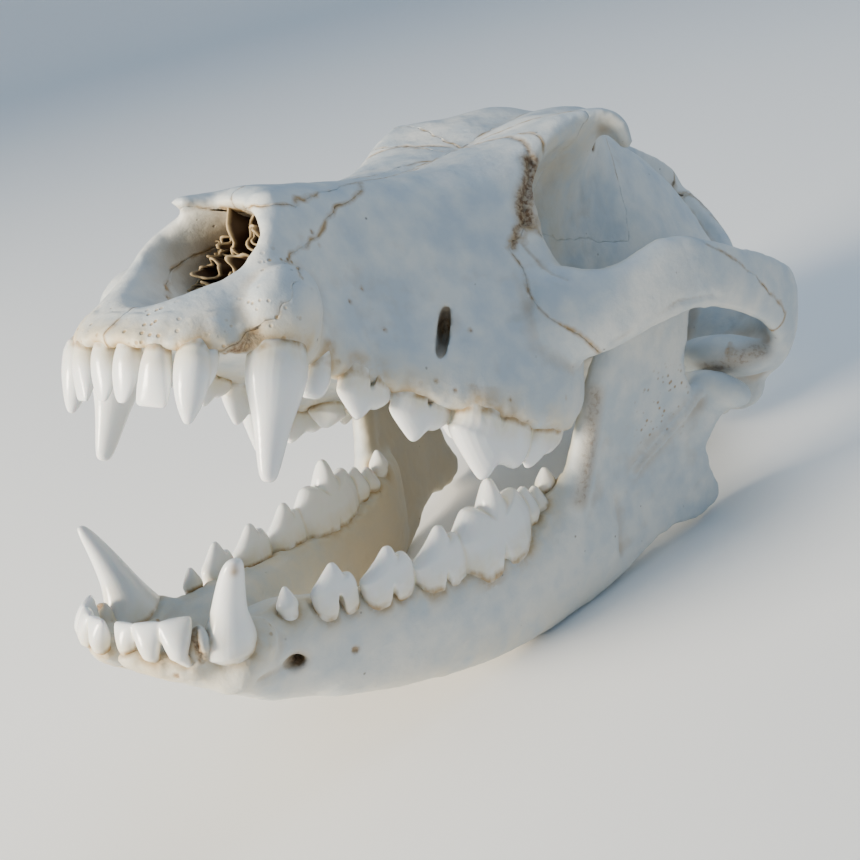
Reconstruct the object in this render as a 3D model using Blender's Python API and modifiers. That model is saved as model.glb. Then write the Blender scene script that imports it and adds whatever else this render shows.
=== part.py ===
"""A dog's skull with its jaw open, at life size, resting on its lower jaw.

The braincase, face, cheek arches and the two halves of the lower jaw are modelled as bones with
their teeth set in them. Cranium sizes are in the cranium's own frame and jaw sizes in the jaw's
own frame, both in millimetres: +X is the animal's left, +Y runs back from the front teeth and +Z
is up from the line of the tooth sockets. Two empties turn those frames into the resting pose.
"""

import math

import bmesh
import bpy
from mathutils import Matrix, Vector

MM = 0.001

# The resting pose: the jaw lies tilted on the floor, and the cranium is opened above it.
JAW_TILT = math.radians(10.2)
GAPE = math.radians(20.95)
HINGE_ON_CRANIUM = (164.0, 11.0)
HINGE_ON_JAW = (156.8, 9.3)
JAW_REST = (90.0, -28.2)
FLOOR_SHIFT = -115.5
CUT_GAP = 0.3

# How finely the bones are skinned, and how many triangles each keeps.
BONE_VOXEL = 1.25
CRANIUM_TRIANGLES = 5600
JAW_TRIANGLES = 1150
RING_POINTS = 40


def clear_scene():
    for old in list(bpy.data.objects):
        bpy.data.objects.remove(old)


def collection(name):
    made = bpy.data.collections.new(name)
    bpy.context.scene.collection.children.link(made)
    return made


def add_object(name, mesh, group):
    obj = bpy.data.objects.new(name, mesh)
    group.objects.link(obj)
    return obj


def spline(points, steps, closed=False):
    """Points on a smooth curve through the given ones, steps to each stretch."""
    count = len(points)
    dims = range(len(points[0]))
    stretches = count if closed else count - 1
    found = []
    for i in range(stretches):
        if closed:
            a, b, c, d = (points[(i + k) % count] for k in (-1, 0, 1, 2))
        else:
            b, c = points[i], points[i + 1]
            a = points[i - 1] if i else [2 * b[k] - c[k] for k in dims]
            d = points[i + 2] if i + 2 < count else [2 * c[k] - b[k] for k in dims]
        for s in range(steps):
            t = s / steps
            found.append([
                0.5 * (2 * b[k] + (c[k] - a[k]) * t
                       + (2 * a[k] - 5 * b[k] + 4 * c[k] - d[k]) * t * t
                       + (3 * b[k] - a[k] - 3 * c[k] + d[k]) * t ** 3)
                for k in dims
            ])
    if not closed:
        found.append(list(points[-1]))
    return found


def loft(name, rings, group):
    """A closed skin over rings of points in millimetres, with a fan on each end."""
    bm = bmesh.new()
    rows = [[bm.verts.new(Vector(p) * MM) for p in ring] for ring in rings]
    count = len(rings[0])
    for first, second in zip(rows, rows[1:]):
        for i in range(count):
            j = (i + 1) % count
            bm.faces.new((first[i], first[j], second[j], second[i]))
    for row in (rows[0], rows[-1]):
        middle = sum((v.co for v in row), Vector()) / count
        centre = bm.verts.new(middle)
        for i in range(count):
            bm.faces.new((row[i], row[(i + 1) % count], centre))
    bmesh.ops.recalc_face_normals(bm, faces=bm.faces)
    mesh = bpy.data.meshes.new(name)
    bm.to_mesh(mesh)
    bm.free()
    return add_object(name, mesh, group)


def tube(name, nodes, group, sides=14, steps=4):
    """A bar along nodes of (x, y, z, half height, half thickness), upright in its section."""
    path = spline(nodes, steps)
    rings = []
    for i, node in enumerate(path):
        before, after = path[max(i - 1, 0)], path[min(i + 1, len(path) - 1)]
        along = Vector(after[:3]) - Vector(before[:3])
        across = along.cross(Vector((0, 0, 1))).normalized()
        up = across.cross(along).normalized()
        rings.append([
            Vector(node[:3])
            + up * node[3] * math.cos(2 * math.pi * k / sides)
            + across * node[4] * math.sin(2 * math.pi * k / sides)
            for k in range(sides)
        ])
    return loft(name, rings, group)


def ball(name, centre, radii, group, turn=(0, 0, 0), detail=3):
    """An egg-shaped solid, turned by degrees about X, Y and Z."""
    bm = bmesh.new()
    bmesh.ops.create_icosphere(bm, subdivisions=detail, radius=1)
    place = Matrix.Translation(Vector(centre) * MM)
    for axis, angle in zip("ZYX", reversed(turn)):
        place = place @ Matrix.Rotation(math.radians(angle), 4, axis)
    place = place @ Matrix.Diagonal((radii[0] * MM, radii[1] * MM, radii[2] * MM, 1))
    bm.transform(place)
    mesh = bpy.data.meshes.new(name)
    bm.to_mesh(mesh)
    bm.free()
    return add_object(name, mesh, group)


def apply_modifiers(obj):
    graph = bpy.context.evaluated_depsgraph_get()
    mesh = bpy.data.meshes.new_from_object(obj.evaluated_get(graph))
    obj.modifiers.clear()
    obj.data = mesh
    return obj


def mirrored(pieces):
    """Each piece again on the animal's right side."""
    twins = []
    for piece in pieces:
        mesh = piece.data.copy()
        mesh.transform(Matrix.Diagonal((-1, 1, 1, 1)))
        mesh.flip_normals()
        twins.append(add_object(piece.name + "_r", mesh, piece.users_collection[0]))
    return pieces + twins


def joined(name, pieces, group):
    """One object holding the faces of all the pieces, which are then removed."""
    bm = bmesh.new()
    for piece in pieces:
        bm.from_mesh(piece.data)
        bpy.data.objects.remove(piece)
    mesh = bpy.data.meshes.new(name)
    bm.to_mesh(mesh)
    bm.free()
    return add_object(name, mesh, group)


def cut_by(obj, cutter, operation="DIFFERENCE"):
    change = obj.modifiers.new("cut", "BOOLEAN")
    change.operation = operation
    change.solver = "MANIFOLD"
    change.object = cutter
    bpy.context.view_layer.update()
    return apply_modifiers(obj)


def cut_by_all(obj, cutters):
    for cutter in cutters:
        cut_by(obj, cutter)
        bpy.data.objects.remove(cutter)
    return obj


def skinned(obj, voxel, smoothing):
    """Overlapping solids grown together into one skin and eased where they meet."""
    skin = obj.modifiers.new("skin", "REMESH")
    skin.mode = "VOXEL"
    skin.voxel_size = voxel * MM
    ease = obj.modifiers.new("ease", "SMOOTH")
    ease.factor = 0.5
    ease.iterations = smoothing
    return apply_modifiers(obj)


def press(obj, centre, spread, move, facing=None):
    """Moves the surface near a point, as a thumb does in clay, all in millimetres."""
    middle, sizes, shift = Vector(centre) * MM, Vector(spread) * MM, Vector(move) * MM
    normals = [v.normal.copy() for v in obj.data.vertices]
    for vertex, normal in zip(obj.data.vertices, normals):
        away = vertex.co - middle
        reach = sum((away[k] / sizes[k]) ** 2 for k in range(3))
        if reach > 6:
            continue
        share = math.exp(-1.4 * reach)
        if facing is not None:
            share *= max(0.0, normal.dot(Vector(facing)))
        vertex.co += shift * share


def press_pair(obj, centre, spread, move, facing=None):
    """The same press on both sides of the head."""
    for side in (1, -1):
        turned = None if facing is None else (facing[0] * side, facing[1], facing[2])
        press(obj, (centre[0] * side, centre[1], centre[2]), spread,
              (move[0] * side, move[1], move[2]), turned)


def thinned(obj, triangles):
    """The same surface with fewer triangles, kept alike on both sides."""
    fewer = obj.modifiers.new("fewer", "DECIMATE")
    obj.data.calc_loop_triangles()
    fewer.ratio = min(1.0, triangles / len(obj.data.loop_triangles))
    return apply_modifiers(obj)


def largest_body(obj):
    """Keeps only the largest closed surface of a mesh."""
    bm = bmesh.new()
    bm.from_mesh(obj.data)
    bm.verts.ensure_lookup_table()
    left = set(bm.verts)
    best, best_size = [], -1.0
    while left:
        body, todo = [], [left.pop()]
        while todo:
            vertex = todo.pop()
            body.append(vertex)
            for edge in vertex.link_edges:
                other = edge.other_vert(vertex)
                if other in left:
                    left.remove(other)
                    todo.append(other)
        size = sum(f.calc_area() for f in {f for v in body for f in v.link_faces})
        if size > best_size:
            best, best_size = body, size
    keep = set(best)
    bmesh.ops.delete(bm, geom=[v for v in bm.verts if v not in keep], context="VERTS")
    bmesh.ops.triangulate(bm, faces=bm.faces)
    bm.to_mesh(obj.data)
    bm.free()
    return obj


# The cranium: lofts along the head, in the cranium's frame.
# Each row: distance back, top on the midline, shoulder x and z, cheek x and z, gum x and z,
# and the height of the palate or skull base on the midline.
MUZZLE_STATIONS = (
    (8.0, 2.5, 3.0, 2.0, 6.0, 1.2, 6.0, 0.2, 0.5),
    (10.0, 4.5, 6.0, 4.0, 10.2, 2.5, 10.6, 0.0, 0.8),
    (14.0, 9.0, 9.5, 8.2, 14.6, 5.0, 16.4, 0.5, 2.0),
    (19.0, 13.0, 11.8, 11.8, 16.8, 7.5, 18.5, 1.2, 3.0),
    (24.0, 17.5, 13.4, 15.5, 17.6, 9.5, 21.5, 1.5, 3.5),
    (27.5, 23.0, 14.0, 20.5, 18.0, 12.5, 22.6, 2.0, 4.0),
    (31.0, 29.0, 12.6, 26.5, 17.8, 14.5, 22.2, 2.0, 4.5),
    (34.5, 33.4, 11.0, 30.0, 17.4, 15.5, 21.2, 1.8, 4.7),
    (40.0, 35.0, 10.5, 32.0, 17.0, 17.0, 20.0, 0.8, 5.0),
    (50.0, 37.5, 11.5, 34.5, 18.0, 18.0, 21.8, -0.6, 5.0),
    (60.0, 40.2, 13.0, 37.0, 21.0, 18.0, 25.5, -1.8, 5.0),
    (70.0, 43.2, 16.0, 40.0, 25.5, 18.0, 30.5, -3.6, 5.0),
    (80.0, 47.0, 19.5, 44.5, 30.0, 20.0, 34.5, -5.0, 4.5),
    (90.0, 52.5, 22.5, 50.5, 34.5, 23.0, 36.5, -5.2, 4.0),
    (99.0, 57.5, 24.0, 54.5, 35.0, 24.0, 35.5, -4.6, 4.0),
    (107.0, 60.0, 20.0, 55.0, 29.0, 26.0, 31.0, -2.5, 5.0),
)
BRAINCASE_STATIONS = (
    (70.0, 40.0, 8.0, 37.0, 9.0, 32.0, 8.0, 26.0, 24.0),
    (82.0, 46.5, 16.0, 45.0, 18.0, 36.0, 14.0, 24.0, 18.0),
    (92.0, 53.5, 22.0, 53.5, 21.5, 40.0, 16.0, 24.0, 12.0),
    (100.0, 58.0, 25.0, 60.5, 21.0, 44.0, 15.5, 22.0, 9.0),
    (108.0, 65.0, 26.0, 65.6, 20.0, 48.0, 15.0, 20.0, 8.0),
    (116.0, 69.5, 26.0, 67.4, 18.5, 50.0, 14.5, 20.0, 8.0),
    (124.0, 73.0, 19.5, 69.6, 17.5, 50.0, 14.5, 20.0, 8.5),
    (132.0, 74.5, 15.5, 72.0, 18.0, 50.0, 15.5, 21.0, 9.0),
    (142.0, 74.5, 12.5, 69.5, 21.0, 48.0, 18.5, 21.0, 10.0),
    (155.0, 73.0, 16.0, 66.5, 26.0, 44.0, 23.5, 20.0, 11.0),
    (170.0, 72.0, 18.0, 62.5, 29.5, 41.0, 26.5, 19.0, 11.0),
    (184.0, 70.0, 18.0, 56.5, 29.5, 39.0, 26.5, 20.0, 12.0),
    (195.0, 68.5, 15.0, 52.0, 25.5, 37.0, 22.5, 22.0, 16.0),
    (202.0, 64.0, 9.0, 48.0, 17.0, 37.0, 15.0, 27.0, 21.0),
)

# The cheek arch, from the upper jaw out and back to the side of the braincase.
ARCH_PATH = (
    (32.0, 88.0, 17.0, 10.0, 6.0),
    (40.0, 94.5, 19.5, 9.5, 5.0),
    (46.5, 101.0, 24.0, 8.2, 3.8),
    (51.0, 107.5, 29.0, 8.8, 3.2),
    (54.5, 116.0, 31.0, 7.6, 3.0),
    (57.0, 127.0, 31.6, 7.2, 3.0),
    (58.0, 139.0, 31.8, 7.8, 3.0),
    (57.6, 150.2, 30.6, 9.0, 3.2),
    (54.2, 158.8, 27.6, 10.4, 4.0),
    (47.2, 165.0, 24.8, 10.8, 5.2),
    (38.0, 167.5, 24.0, 11.0, 7.0),
    (27.0, 170.0, 24.0, 12.0, 7.0),
)

# The bony rim over each eye, which ends in a blunt hook.
BROW_PATH = (
    (20.0, 104.0, 60.4, 2.6, 6.0),
    (25.0, 110.5, 63.2, 2.6, 4.5),
    (29.0, 116.5, 63.3, 2.6, 4.0),
    (30.8, 120.4, 61.0, 2.2, 3.2),
    (31.2, 121.0, 58.4, 1.4, 1.8),
)
# The free tips of the two nasal bones over the nose opening, left and right.
NASAL_TIPS = (
    ((8.4, 31.5, 30.4, 1.0, 2.6), (7.2, 38.0, 32.2, 1.4, 3.4), (6.5, 48.0, 34.4, 1.6, 4.4)),
    ((-8.2, 26.5, 28.8, 1.0, 2.6), (-7.4, 34.0, 31.2, 1.4, 3.4), (-6.5, 46.0, 34.0, 1.6, 4.4)),
)

# The ridge along the back of the head, from the middle down to behind the ear.
NECK_RIDGE = (
    (0.0, 203.0, 70.0, 4.0, 2.6),
    (7.5, 199.8, 65.0, 3.6, 2.6),
    (15.0, 197.2, 58.0, 4.0, 2.6),
    (22.5, 193.8, 49.0, 4.4, 2.6),
    (28.5, 189.6, 38.0, 5.0, 3.0),
    (30.5, 186.5, 27.0, 5.2, 3.4),
    (28.5, 186.0, 18.0, 4.0, 4.0),
)

# The crest along the top of the braincase, as an outline seen from the side.
CREST_OUTLINE = (
    (134.0, 62.0), (136.0, 73.5), (150.0, 75.6), (168.0, 76.6), (186.0, 77.4), (198.0, 77.0),
    (205.5, 72.6), (205.0, 64.0), (198.0, 56.0), (170.0, 52.0), (148.0, 56.0),
)
CREST_HALF_WIDTH = 1.5


def head_loft(name, stations, group):
    """One closed form whose sections pass through top, shoulder, cheek, gum and base."""
    rings = []
    for y, top, sx, sz, cx, cz, gx, gz, base in spline(stations, 3):
        half = [(0.0, top), (sx, sz), (cx, cz), (gx, gz), (0.0, base)]
        other = [(-x, z) for x, z in reversed(half[1:-1])]
        section = spline(half + other, RING_POINTS // 8, closed=True)
        rings.append([(x, y, z) for x, z in section])
    return loft(name, rings, group)


def outline_plate(name, outline, half_width, group, steps=3):
    """A plate across X from an outline of (y, z) seen from the side."""
    edge = spline(outline, steps, closed=True)
    rings = [[(side * half_width, y, z) for y, z in edge] for side in (-1, 1)]
    return loft(name, rings, group)


def orbit_cutters(group):
    """Room for the eyes: an egg leaning back, open outwards."""
    return mirrored([ball("orbit", (39.0, 106.5, 44.0), (23.0, 16.5, 20.5), group,
                          turn=(-37, 0, 0))])


def nose_cutters(group):
    """The nose opening, from a wide mouth back into the muzzle."""
    mouth = (
        (0.0, 4.0, 22.0, 15.0, 9.0),
        (0.0, 14.0, 20.6, 13.0, 11.0),
        (0.0, 22.0, 19.8, 11.4, 12.2),
        (0.0, 30.0, 19.8, 9.8, 12.0),
        (0.0, 40.0, 19.5, 9.0, 10.4),
        (0.0, 52.0, 19.0, 7.5, 8.4),
    )
    return [tube("nose", mouth, group, sides=20)]


def throat_cutters(group):
    """The rear of the nose passage, the hole for the spine and the two ear passages."""
    passage = (
        (0.0, 96.0, 9.0, 4.5, 7.0),
        (0.0, 108.0, 5.5, 7.0, 9.0),
        (0.0, 122.0, 2.0, 8.0, 9.5),
        (0.0, 140.0, -3.0, 8.0, 9.5),
    )
    spine = (
        (0.0, 184.0, 33.0, 6.0, 7.5),
        (0.0, 196.0, 33.0, 8.0, 10.2),
        (0.0, 212.0, 33.0, 9.0, 11.0),
    )
    ears = mirrored([ball("ear", (33.0, 176.0, 17.0), (7.0, 3.6, 3.6), group, detail=2)])
    return [tube("passage", passage, group), tube("spine", spine, group), *ears]


def cranium_pieces(group):
    """The solids that grow together into the cranium, without its teeth."""
    middle = [
        head_loft("muzzle_form", MUZZLE_STATIONS, group),
        head_loft("braincase_form", BRAINCASE_STATIONS, group),
        outline_plate("crest_form", CREST_OUTLINE, CREST_HALF_WIDTH, group),
    ]
    middle[0] = cut_by_all(middle[0], orbit_cutters(group) + nose_cutters(group))
    middle[1] = cut_by_all(middle[1], orbit_cutters(group) + nose_cutters(group))
    middle += [tube("nasal_tip", path, group, sides=12) for path in NASAL_TIPS]
    sides = mirrored([
        tube("arch_form", ARCH_PATH, group),
        tube("brow_form", BROW_PATH, group, sides=10),
        tube("neck_ridge_form", NECK_RIDGE, group, sides=10),
        ball("joint_shelf", (44.0, 154.0, 18.0), (13.0, 8.5, 5.0), group),
        ball("joint_stop", (42.0, 162.5, 12.0), (9.0, 3.2, 7.0), group),
        ball("ear_capsule", (17.0, 174.0, 10.0), (10.0, 13.5, 9.5), group),
        ball("neck_knob", (12.0, 197.5, 23.5), (7.0, 7.5, 9.5), group, turn=(0, -25, 0)),
        tube("neck_spur", ((26.0, 187.0, 24.0, 4.0, 6.0), (26.5, 190.0, 13.0, 3.0, 5.0),
                           (26.0, 191.5, 6.0, 2.0, 3.0)), group, sides=10),
        tube("throat_wing", ((10.5, 100.0, 7.0, 6.0, 2.2), (11.5, 114.0, 7.5, 8.0, 1.9),
                             (11.5, 126.0, 7.5, 8.0, 1.8), (11.0, 133.0, 6.0, 7.0, 1.8)),
             group, sides=12),
        ball("canine_swell", (19.0, 30.0, 9.0), (4.4, 8.0, 10.0), group, turn=(-12, 0, 0)),
        ball("wing_hook", (10.5, 133.5, 1.5), (1.8, 2.6, 3.6), group, detail=2),
    ])
    return middle + sides


def cranium_surface(group):
    """The whole cranium as one skin, with its hollows pressed in."""
    body = joined("cranium_form", cranium_pieces(group), group)
    skinned(body, BONE_VOXEL, 4)
    press(body, (0, 110, 67), (8, 26, 12), (0, 0, -2.2))
    press_pair(body, (15, 119, 72), (11, 13, 9), (0, 0, 1.2))
    press_pair(body, (24, 52, 16), (9, 12, 12), (-1.6, 0, 0))
    press_pair(body, (27, 74, 13), (7, 9, 8), (1.0, 0, 0))
    press(body, (-11, 121, 73), (9, 15, 8), (0, 0, 1.8))
    press(body, (19, 113, 68), (9, 11, 8), (0, 0, -1.2))
    press(body, (-13.5, 25, 20), (5, 9, 11), (-0.6, -2.2, 0.8))
    cut_by_all(body, throat_cutters(group))
    return thinned(body, CRANIUM_TRIANGLES)


# The lower jaw's body on the left. Each row: distance back, inner and outer x, bottom and top z.
JAW_STATIONS = (
    (-3.8, 0.2, 4.4, 2.2, 4.2),
    (-0.5, 0.2, 8.6, -0.8, 4.2),
    (4.0, 0.2, 12.4, -4.2, 3.2),
    (10.0, 0.2, 15.4, -8.2, 1.6),
    (16.0, 0.2, 15.8, -12.2, 1.2),
    (22.0, 0.2, 15.2, -15.9, 1.8),
    (29.0, 0.4, 16.5, -18.4, 1.8),
    (34.0, 2.0, 17.8, -20.6, 0.6),
    (40.0, 6.0, 19.3, -22.4, -0.8),
    (52.0, 11.0, 22.8, -25.2, -2.6),
    (66.0, 14.5, 26.0, -27.6, -4.0),
    (80.0, 16.5, 28.8, -28.9, -4.2),
    (92.0, 18.5, 31.0, -28.5, -0.6),
    (100.0, 21.0, 33.0, -27.0, 3.6),
    (108.0, 25.5, 35.5, -23.5, 3.5),
)
# The upright plate behind the teeth, as an outline seen from the side.
RAMUS_OUTLINE = (
    (93.0, -6.0), (98.5, 2.0), (101.8, 10.0), (103.8, 21.0), (107.0, 32.0), (112.0, 41.5),
    (118.0, 46.0), (124.5, 46.5), (130.0, 42.5), (132.0, 35.0), (131.4, 26.0), (132.4, 19.0),
    (136.0, 14.5), (140.0, 13.0), (141.0, 7.0), (140.6, 1.5), (142.4, -5.0), (145.2, -9.4),
    (147.4, -12.4), (146.6, -15.8), (142.0, -17.6), (135.0, -17.6), (127.0, -17.6),
    (119.0, -20.0), (108.0, -25.0), (96.0, -26.0),
)
RAMUS_HALF_WIDTH = 2.5
# Thickened rims of the plate: front border, lower border and the ridge under the joint.
FRONT_RIM = ((98.5, -3.0, 4.2), (102.6, 9.0, 3.8), (105.4, 21.0, 3.2), (109.2, 32.0, 2.6),
             (114.6, 41.0, 2.0))
LOWER_RIM = ((100.0, -22.5, 4.4), (112.0, -19.6, 4.2), (126.0, -13.9, 3.4),
             (138.0, -14.3, 3.1), (146.0, -14.4, 2.6))
JOINT_RIM = ((139.0, 9.0, 3.8), (135.0, 2.0, 3.2), (126.5, -4.5, 2.6), (118.0, -10.0, 2.0))
CONDYLE = (44.5, 140.8, 13.6)
CONDYLE_RADII = (9.5, 4.2, 4.6)
CONDYLE_TURN = (0, 12, 8)


def ramus_x(y, z):
    """How far out the upright plate stands at a place on its outline."""
    along = 29.5 + 0.27 * (y - 100.0) - 0.0035 * max(0.0, y - 125.0) ** 2
    return along + 0.10 * (z + 5.0) + 0.0012 * max(0.0, z - 10.0) ** 2


def jaw_body_form(group):
    rings = []
    for y, inner, outer, low, high in spline(JAW_STATIONS, 3):
        ring = []
        for k in range(24):
            angle = 2 * math.pi * k / 24
            c, s = math.cos(angle), math.sin(angle)
            reach = (abs(c) ** 2.6 + abs(s) ** 2.6) ** (-1 / 2.6)
            ring.append(((inner + outer) / 2 + (outer - inner) / 2 * c * reach, y,
                         (low + high) / 2 + (high - low) / 2 * s * reach))
        rings.append(ring)
    return loft("jaw_body_form", rings, group)


def ramus_form(group):
    plate = outline_plate("ramus_form", RAMUS_OUTLINE, RAMUS_HALF_WIDTH, group)
    grid = plate.modifiers.new("grid", "REMESH")
    grid.mode = "VOXEL"
    grid.voxel_size = BONE_VOXEL * MM
    apply_modifiers(plate)
    for vertex in plate.data.vertices:
        vertex.co.x += ramus_x(vertex.co.y / MM, vertex.co.z / MM) * MM
    return plate


def rim_tube(name, path, group):
    return tube(name, [(ramus_x(y, z), y, z, r, r * 0.8) for y, z, r in path], group, sides=12)


def jaw_surface(group):
    """The left half of the lower jaw as one skin, without its teeth."""
    neck = ((40.0, 137.6, 2.0, 3.4, 4.0), (42.0, 139.4, 8.0, 4.2, 4.0), (43.5, 140.6, 13.0, 6.0, 4.0))
    pieces = [
        jaw_body_form(group),
        ramus_form(group),
        rim_tube("front_rim", FRONT_RIM, group),
        rim_tube("lower_rim", LOWER_RIM, group),
        rim_tube("joint_rim", JOINT_RIM, group),
        tube("joint_neck", neck, group, sides=12),
        ball("condyle", CONDYLE, CONDYLE_RADII, group, turn=CONDYLE_TURN),
        ball("canine_root", (12.4, 14.2, -2.4), (5.6, 8.2, 4.8), group, turn=(28, 0, 0)),
    ]
    body = joined("jaw_form", pieces, group)
    skinned(body, BONE_VOXEL, 3)
    press(body, (37, 119, 3), (20, 15, 13), (-2.2, 0, 0), facing=(1, 0, 0))
    return thinned(body, JAW_TRIANGLES)


# Teeth. A row gives the crown's place on the gum (x, y, z), the turn of its length outwards in
# degrees, how far its root leans back, and its cusps. A cusp gives its place along and across
# the tooth, its base length and width, its height, and how far its tip is carried along and
# across.
UPPER_TEETH = (
    ("incisor_1", (3.1, 10.8, 1.2), 88, 4.0, ((0, 0, 5.2, 4.6, 10.0, -0.6, 0.0),)),
    ("incisor_2", (9.3, 11.8, 1.2), 66, 4.0, ((0, 0, 5.6, 5.0, 10.2, -0.3, 0.0),)),
    ("incisor_3", (15.0, 14.8, 1.5), 30, 1.0, ((0, 0, 6.6, 6.0, 12.6, -0.2, 0.6),)),
    ("canine", (20.6, 28.1, 4.0), 4, 4.0, ((0, 0, 12.6, 8.8, 23.6, -0.4, 1.4),)),
    ("premolar_1", (19.6, 39.6, 0.8), 2, 0.5, ((0, 0, 5.6, 4.0, 5.6, -1.6, 0.2),)),
    ("premolar_2", (20.6, 50.6, -0.4), 8, 0.5, ((-0.6, 0, 10.2, 4.6, 6.8, 0.3, 0.2),
                                               (3.8, 0, 5.8, 3.8, 3.6, 0.3, 0.0))),
    ("premolar_3", (24.0, 63.4, -2.2), 14, 0.5, ((-0.8, 0, 11.2, 5.4, 8.0, 0.9, 0.2),
                                                (4.6, 0, 6.4, 4.4, 4.4, 0.3, 0.0))),
    ("premolar_4", (30.6, 77.8, -4.4), 16, 0.5, ((-3.0, 0, 13.2, 7.8, 11.8, 2.4, 0.0),
                                                (5.2, 0.2, 10.4, 7.0, 8.4, 0.4, 0.0),
                                                (-5.5, -4.6, 5.6, 5.6, 4.4, 0.0, 0.4))),
    ("molar_1", (30.8, 92.8, -4.2), -8, 0.0, ((-2.6, 2.6, 8.0, 6.8, 8.8, 0.2, -0.6),
                                             (3.2, 2.2, 7.0, 6.2, 7.0, 0.0, -0.4),
                                             (0.2, -5.4, 9.0, 9.0, 4.6, 0.0, 0.4))),
    ("molar_2", (27.4, 102.0, -2.8), -12, 0.0, ((0.0, 1.4, 6.2, 5.2, 4.6, 0.0, 0.0),
                                               (0.2, -3.0, 5.4, 6.0, 3.2, 0.0, 0.0))),
)
LOWER_TEETH = (
    ("incisor_1", (2.5, -1.8, 3.4), 82, 4.0, ((0, 0, 4.4, 3.8, 5.8, 0.0, -0.2),)),
    ("incisor_2", (7.0, -0.8, 3.4), 60, 4.0, ((0, 0, 5.0, 4.0, 6.0, 0.0, -0.6),)),
    ("incisor_3", (11.2, 2.2, 3.0), 40, 4.0, ((0, 0, 5.8, 4.6, 6.4, 0.4, -1.0),)),
    ("canine", (13.6, 11.2, 0.6), 12, 3.5, ((0, 0, 12.2, 9.0, 20.0, -2.0, 5.6),)),
    ("premolar_1", (12.8, 26.4, 1.2), 8, 0.5, ((0, 0, 4.6, 3.6, 4.8, 0.0, 0.0),)),
    ("premolar_2", (15.8, 35.8, 0.4), 14, 0.5, ((-0.8, 0, 8.0, 4.4, 6.8, 0.6, 0.0),
                                              (2.8, 0, 4.6, 3.6, 3.6, 0.3, 0.0))),
    ("premolar_3", (18.6, 47.4, -1.2), 12, 0.5, ((-0.8, 0, 10.0, 5.0, 7.4, 0.8, 0.0),
                                               (4.0, 0, 5.4, 4.2, 4.2, 0.6, 0.0))),
    ("premolar_4", (21.2, 60.2, -3.0), 10, 0.5, ((-0.8, 0, 11.0, 5.8, 9.0, 1.0, 0.0),
                                               (4.4, 0, 6.2, 5.0, 5.4, 0.6, 0.0))),
    ("molar_1", (23.2, 75.6, -4.2), 7, 0.5, ((-6.2, 0, 9.4, 7.4, 12.2, 0.6, -0.2),
                                           (1.4, 0, 10.6, 8.6, 15.0, 0.6, 0.0),
                                           (8.2, 0, 9.4, 8.0, 8.0, 0.0, 0.2))),
    ("molar_2", (24.0, 90.4, -1.8), 0, 0.0, ((-1.8, 0, 6.2, 6.8, 7.2, 0.0, 0.0),
                                           (2.6, 0, 5.6, 6.2, 5.8, 0.0, 0.0))),
    ("molar_3", (24.0, 97.6, 2.0), 0, 0.0, ((0, 0, 5.0, 4.8, 4.8, 0.0, 0.0),)),
)
ROOT_DEPTH = 5.0
# Outlines from the root's end to the tip: height as a share of the crown, and width along and
# across as shares of the base.
POINTED = ((-1.0, 0.60, 0.60), (0.0, 0.90, 0.90), (0.2, 1.0, 1.0), (0.55, 0.66, 0.70), (0.95, 0.18, 0.22))
CONICAL = ((-1.0, 0.60, 0.60), (0.0, 0.96, 0.96), (0.15, 1.0, 1.0), (0.4, 0.76, 0.80),
           (0.97, 0.24, 0.28))
CHISEL = ((-1.0, 0.50, 0.60), (0.0, 0.80, 0.90), (0.3, 1.0, 1.0), (0.75, 0.98, 0.60),
          (1.0, 0.80, 0.26))


def tooth_outline(name):
    if name == "canine":
        return CONICAL
    return CHISEL if name in ("incisor_1", "incisor_2") else POINTED


def cusp(name, base, turn, root_lean, spec, rise, side, sides, outline, group):
    """One form rooted in the bone, leaning to its tip. Side is -1 for the right."""
    along, across, length, width, height, lean_along, lean_across = spec
    angle = math.radians(turn)
    row = Vector((math.sin(angle), math.cos(angle), 0))
    out = Vector((math.cos(angle), -math.sin(angle), 0))
    foot = Vector(base) + row * along + out * across
    rings = []
    for share, girth, breadth in outline:
        up = share * height if share > 0 else share * ROOT_DEPTH
        bend = max(share, 0.0) ** 1.5
        middle = foot + Vector((0, root_lean * max(-share, 0.0), rise * up))
        middle += row * lean_along * bend + out * lean_across * bend
        ring = [
            middle
            + row * (length / 2 * girth * math.cos(2 * math.pi * k / sides))
            + out * (width / 2 * breadth * math.sin(2 * math.pi * k / sides))
            for k in range(sides)
        ]
        rings.append([(side * p.x, p.y, p.z) for p in ring])
    return loft(name, rings, group)


def teeth(rows, rise, side, group):
    """Every cusp of the given rows. Rise is 1 for teeth that point up and -1 for down."""
    made = []
    for name, base, turn, root_lean, cusps in rows:
        sides = 10 if name == "canine" else 7
        outline = tooth_outline(name)
        for i, spec in enumerate(cusps):
            made.append(cusp(f"{name}_{i}", base, turn, root_lean, spec, rise, side, sides,
                             outline, group))
    return made


def lower_teeth_right():
    """The lower teeth with the front ones set a little further forward, as on the right."""
    return [(name, (x, y - 1.8, z + 0.8) if name.startswith("incisor") else (x, y, z), *rest)
            for name, (x, y, z), *rest in LOWER_TEETH]


def set_teeth(bone, cusps, group_name):
    """Joins the teeth to their bone with one Boolean union, and removes the loose teeth."""
    sockets = collection(group_name)
    for piece in cusps:
        for owner in piece.users_collection:
            owner.objects.unlink(piece)
        sockets.objects.link(piece)
    grow = bone.modifiers.new("teeth", "BOOLEAN")
    grow.operation = "UNION"
    grow.solver = "MANIFOLD"
    grow.operand_type = "COLLECTION"
    grow.collection = sockets
    bpy.context.view_layer.update()
    apply_modifiers(bone)
    for piece in list(sockets.objects):
        bpy.data.objects.remove(piece)
    bpy.data.collections.remove(sockets)
    return largest_body(bone)


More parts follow.
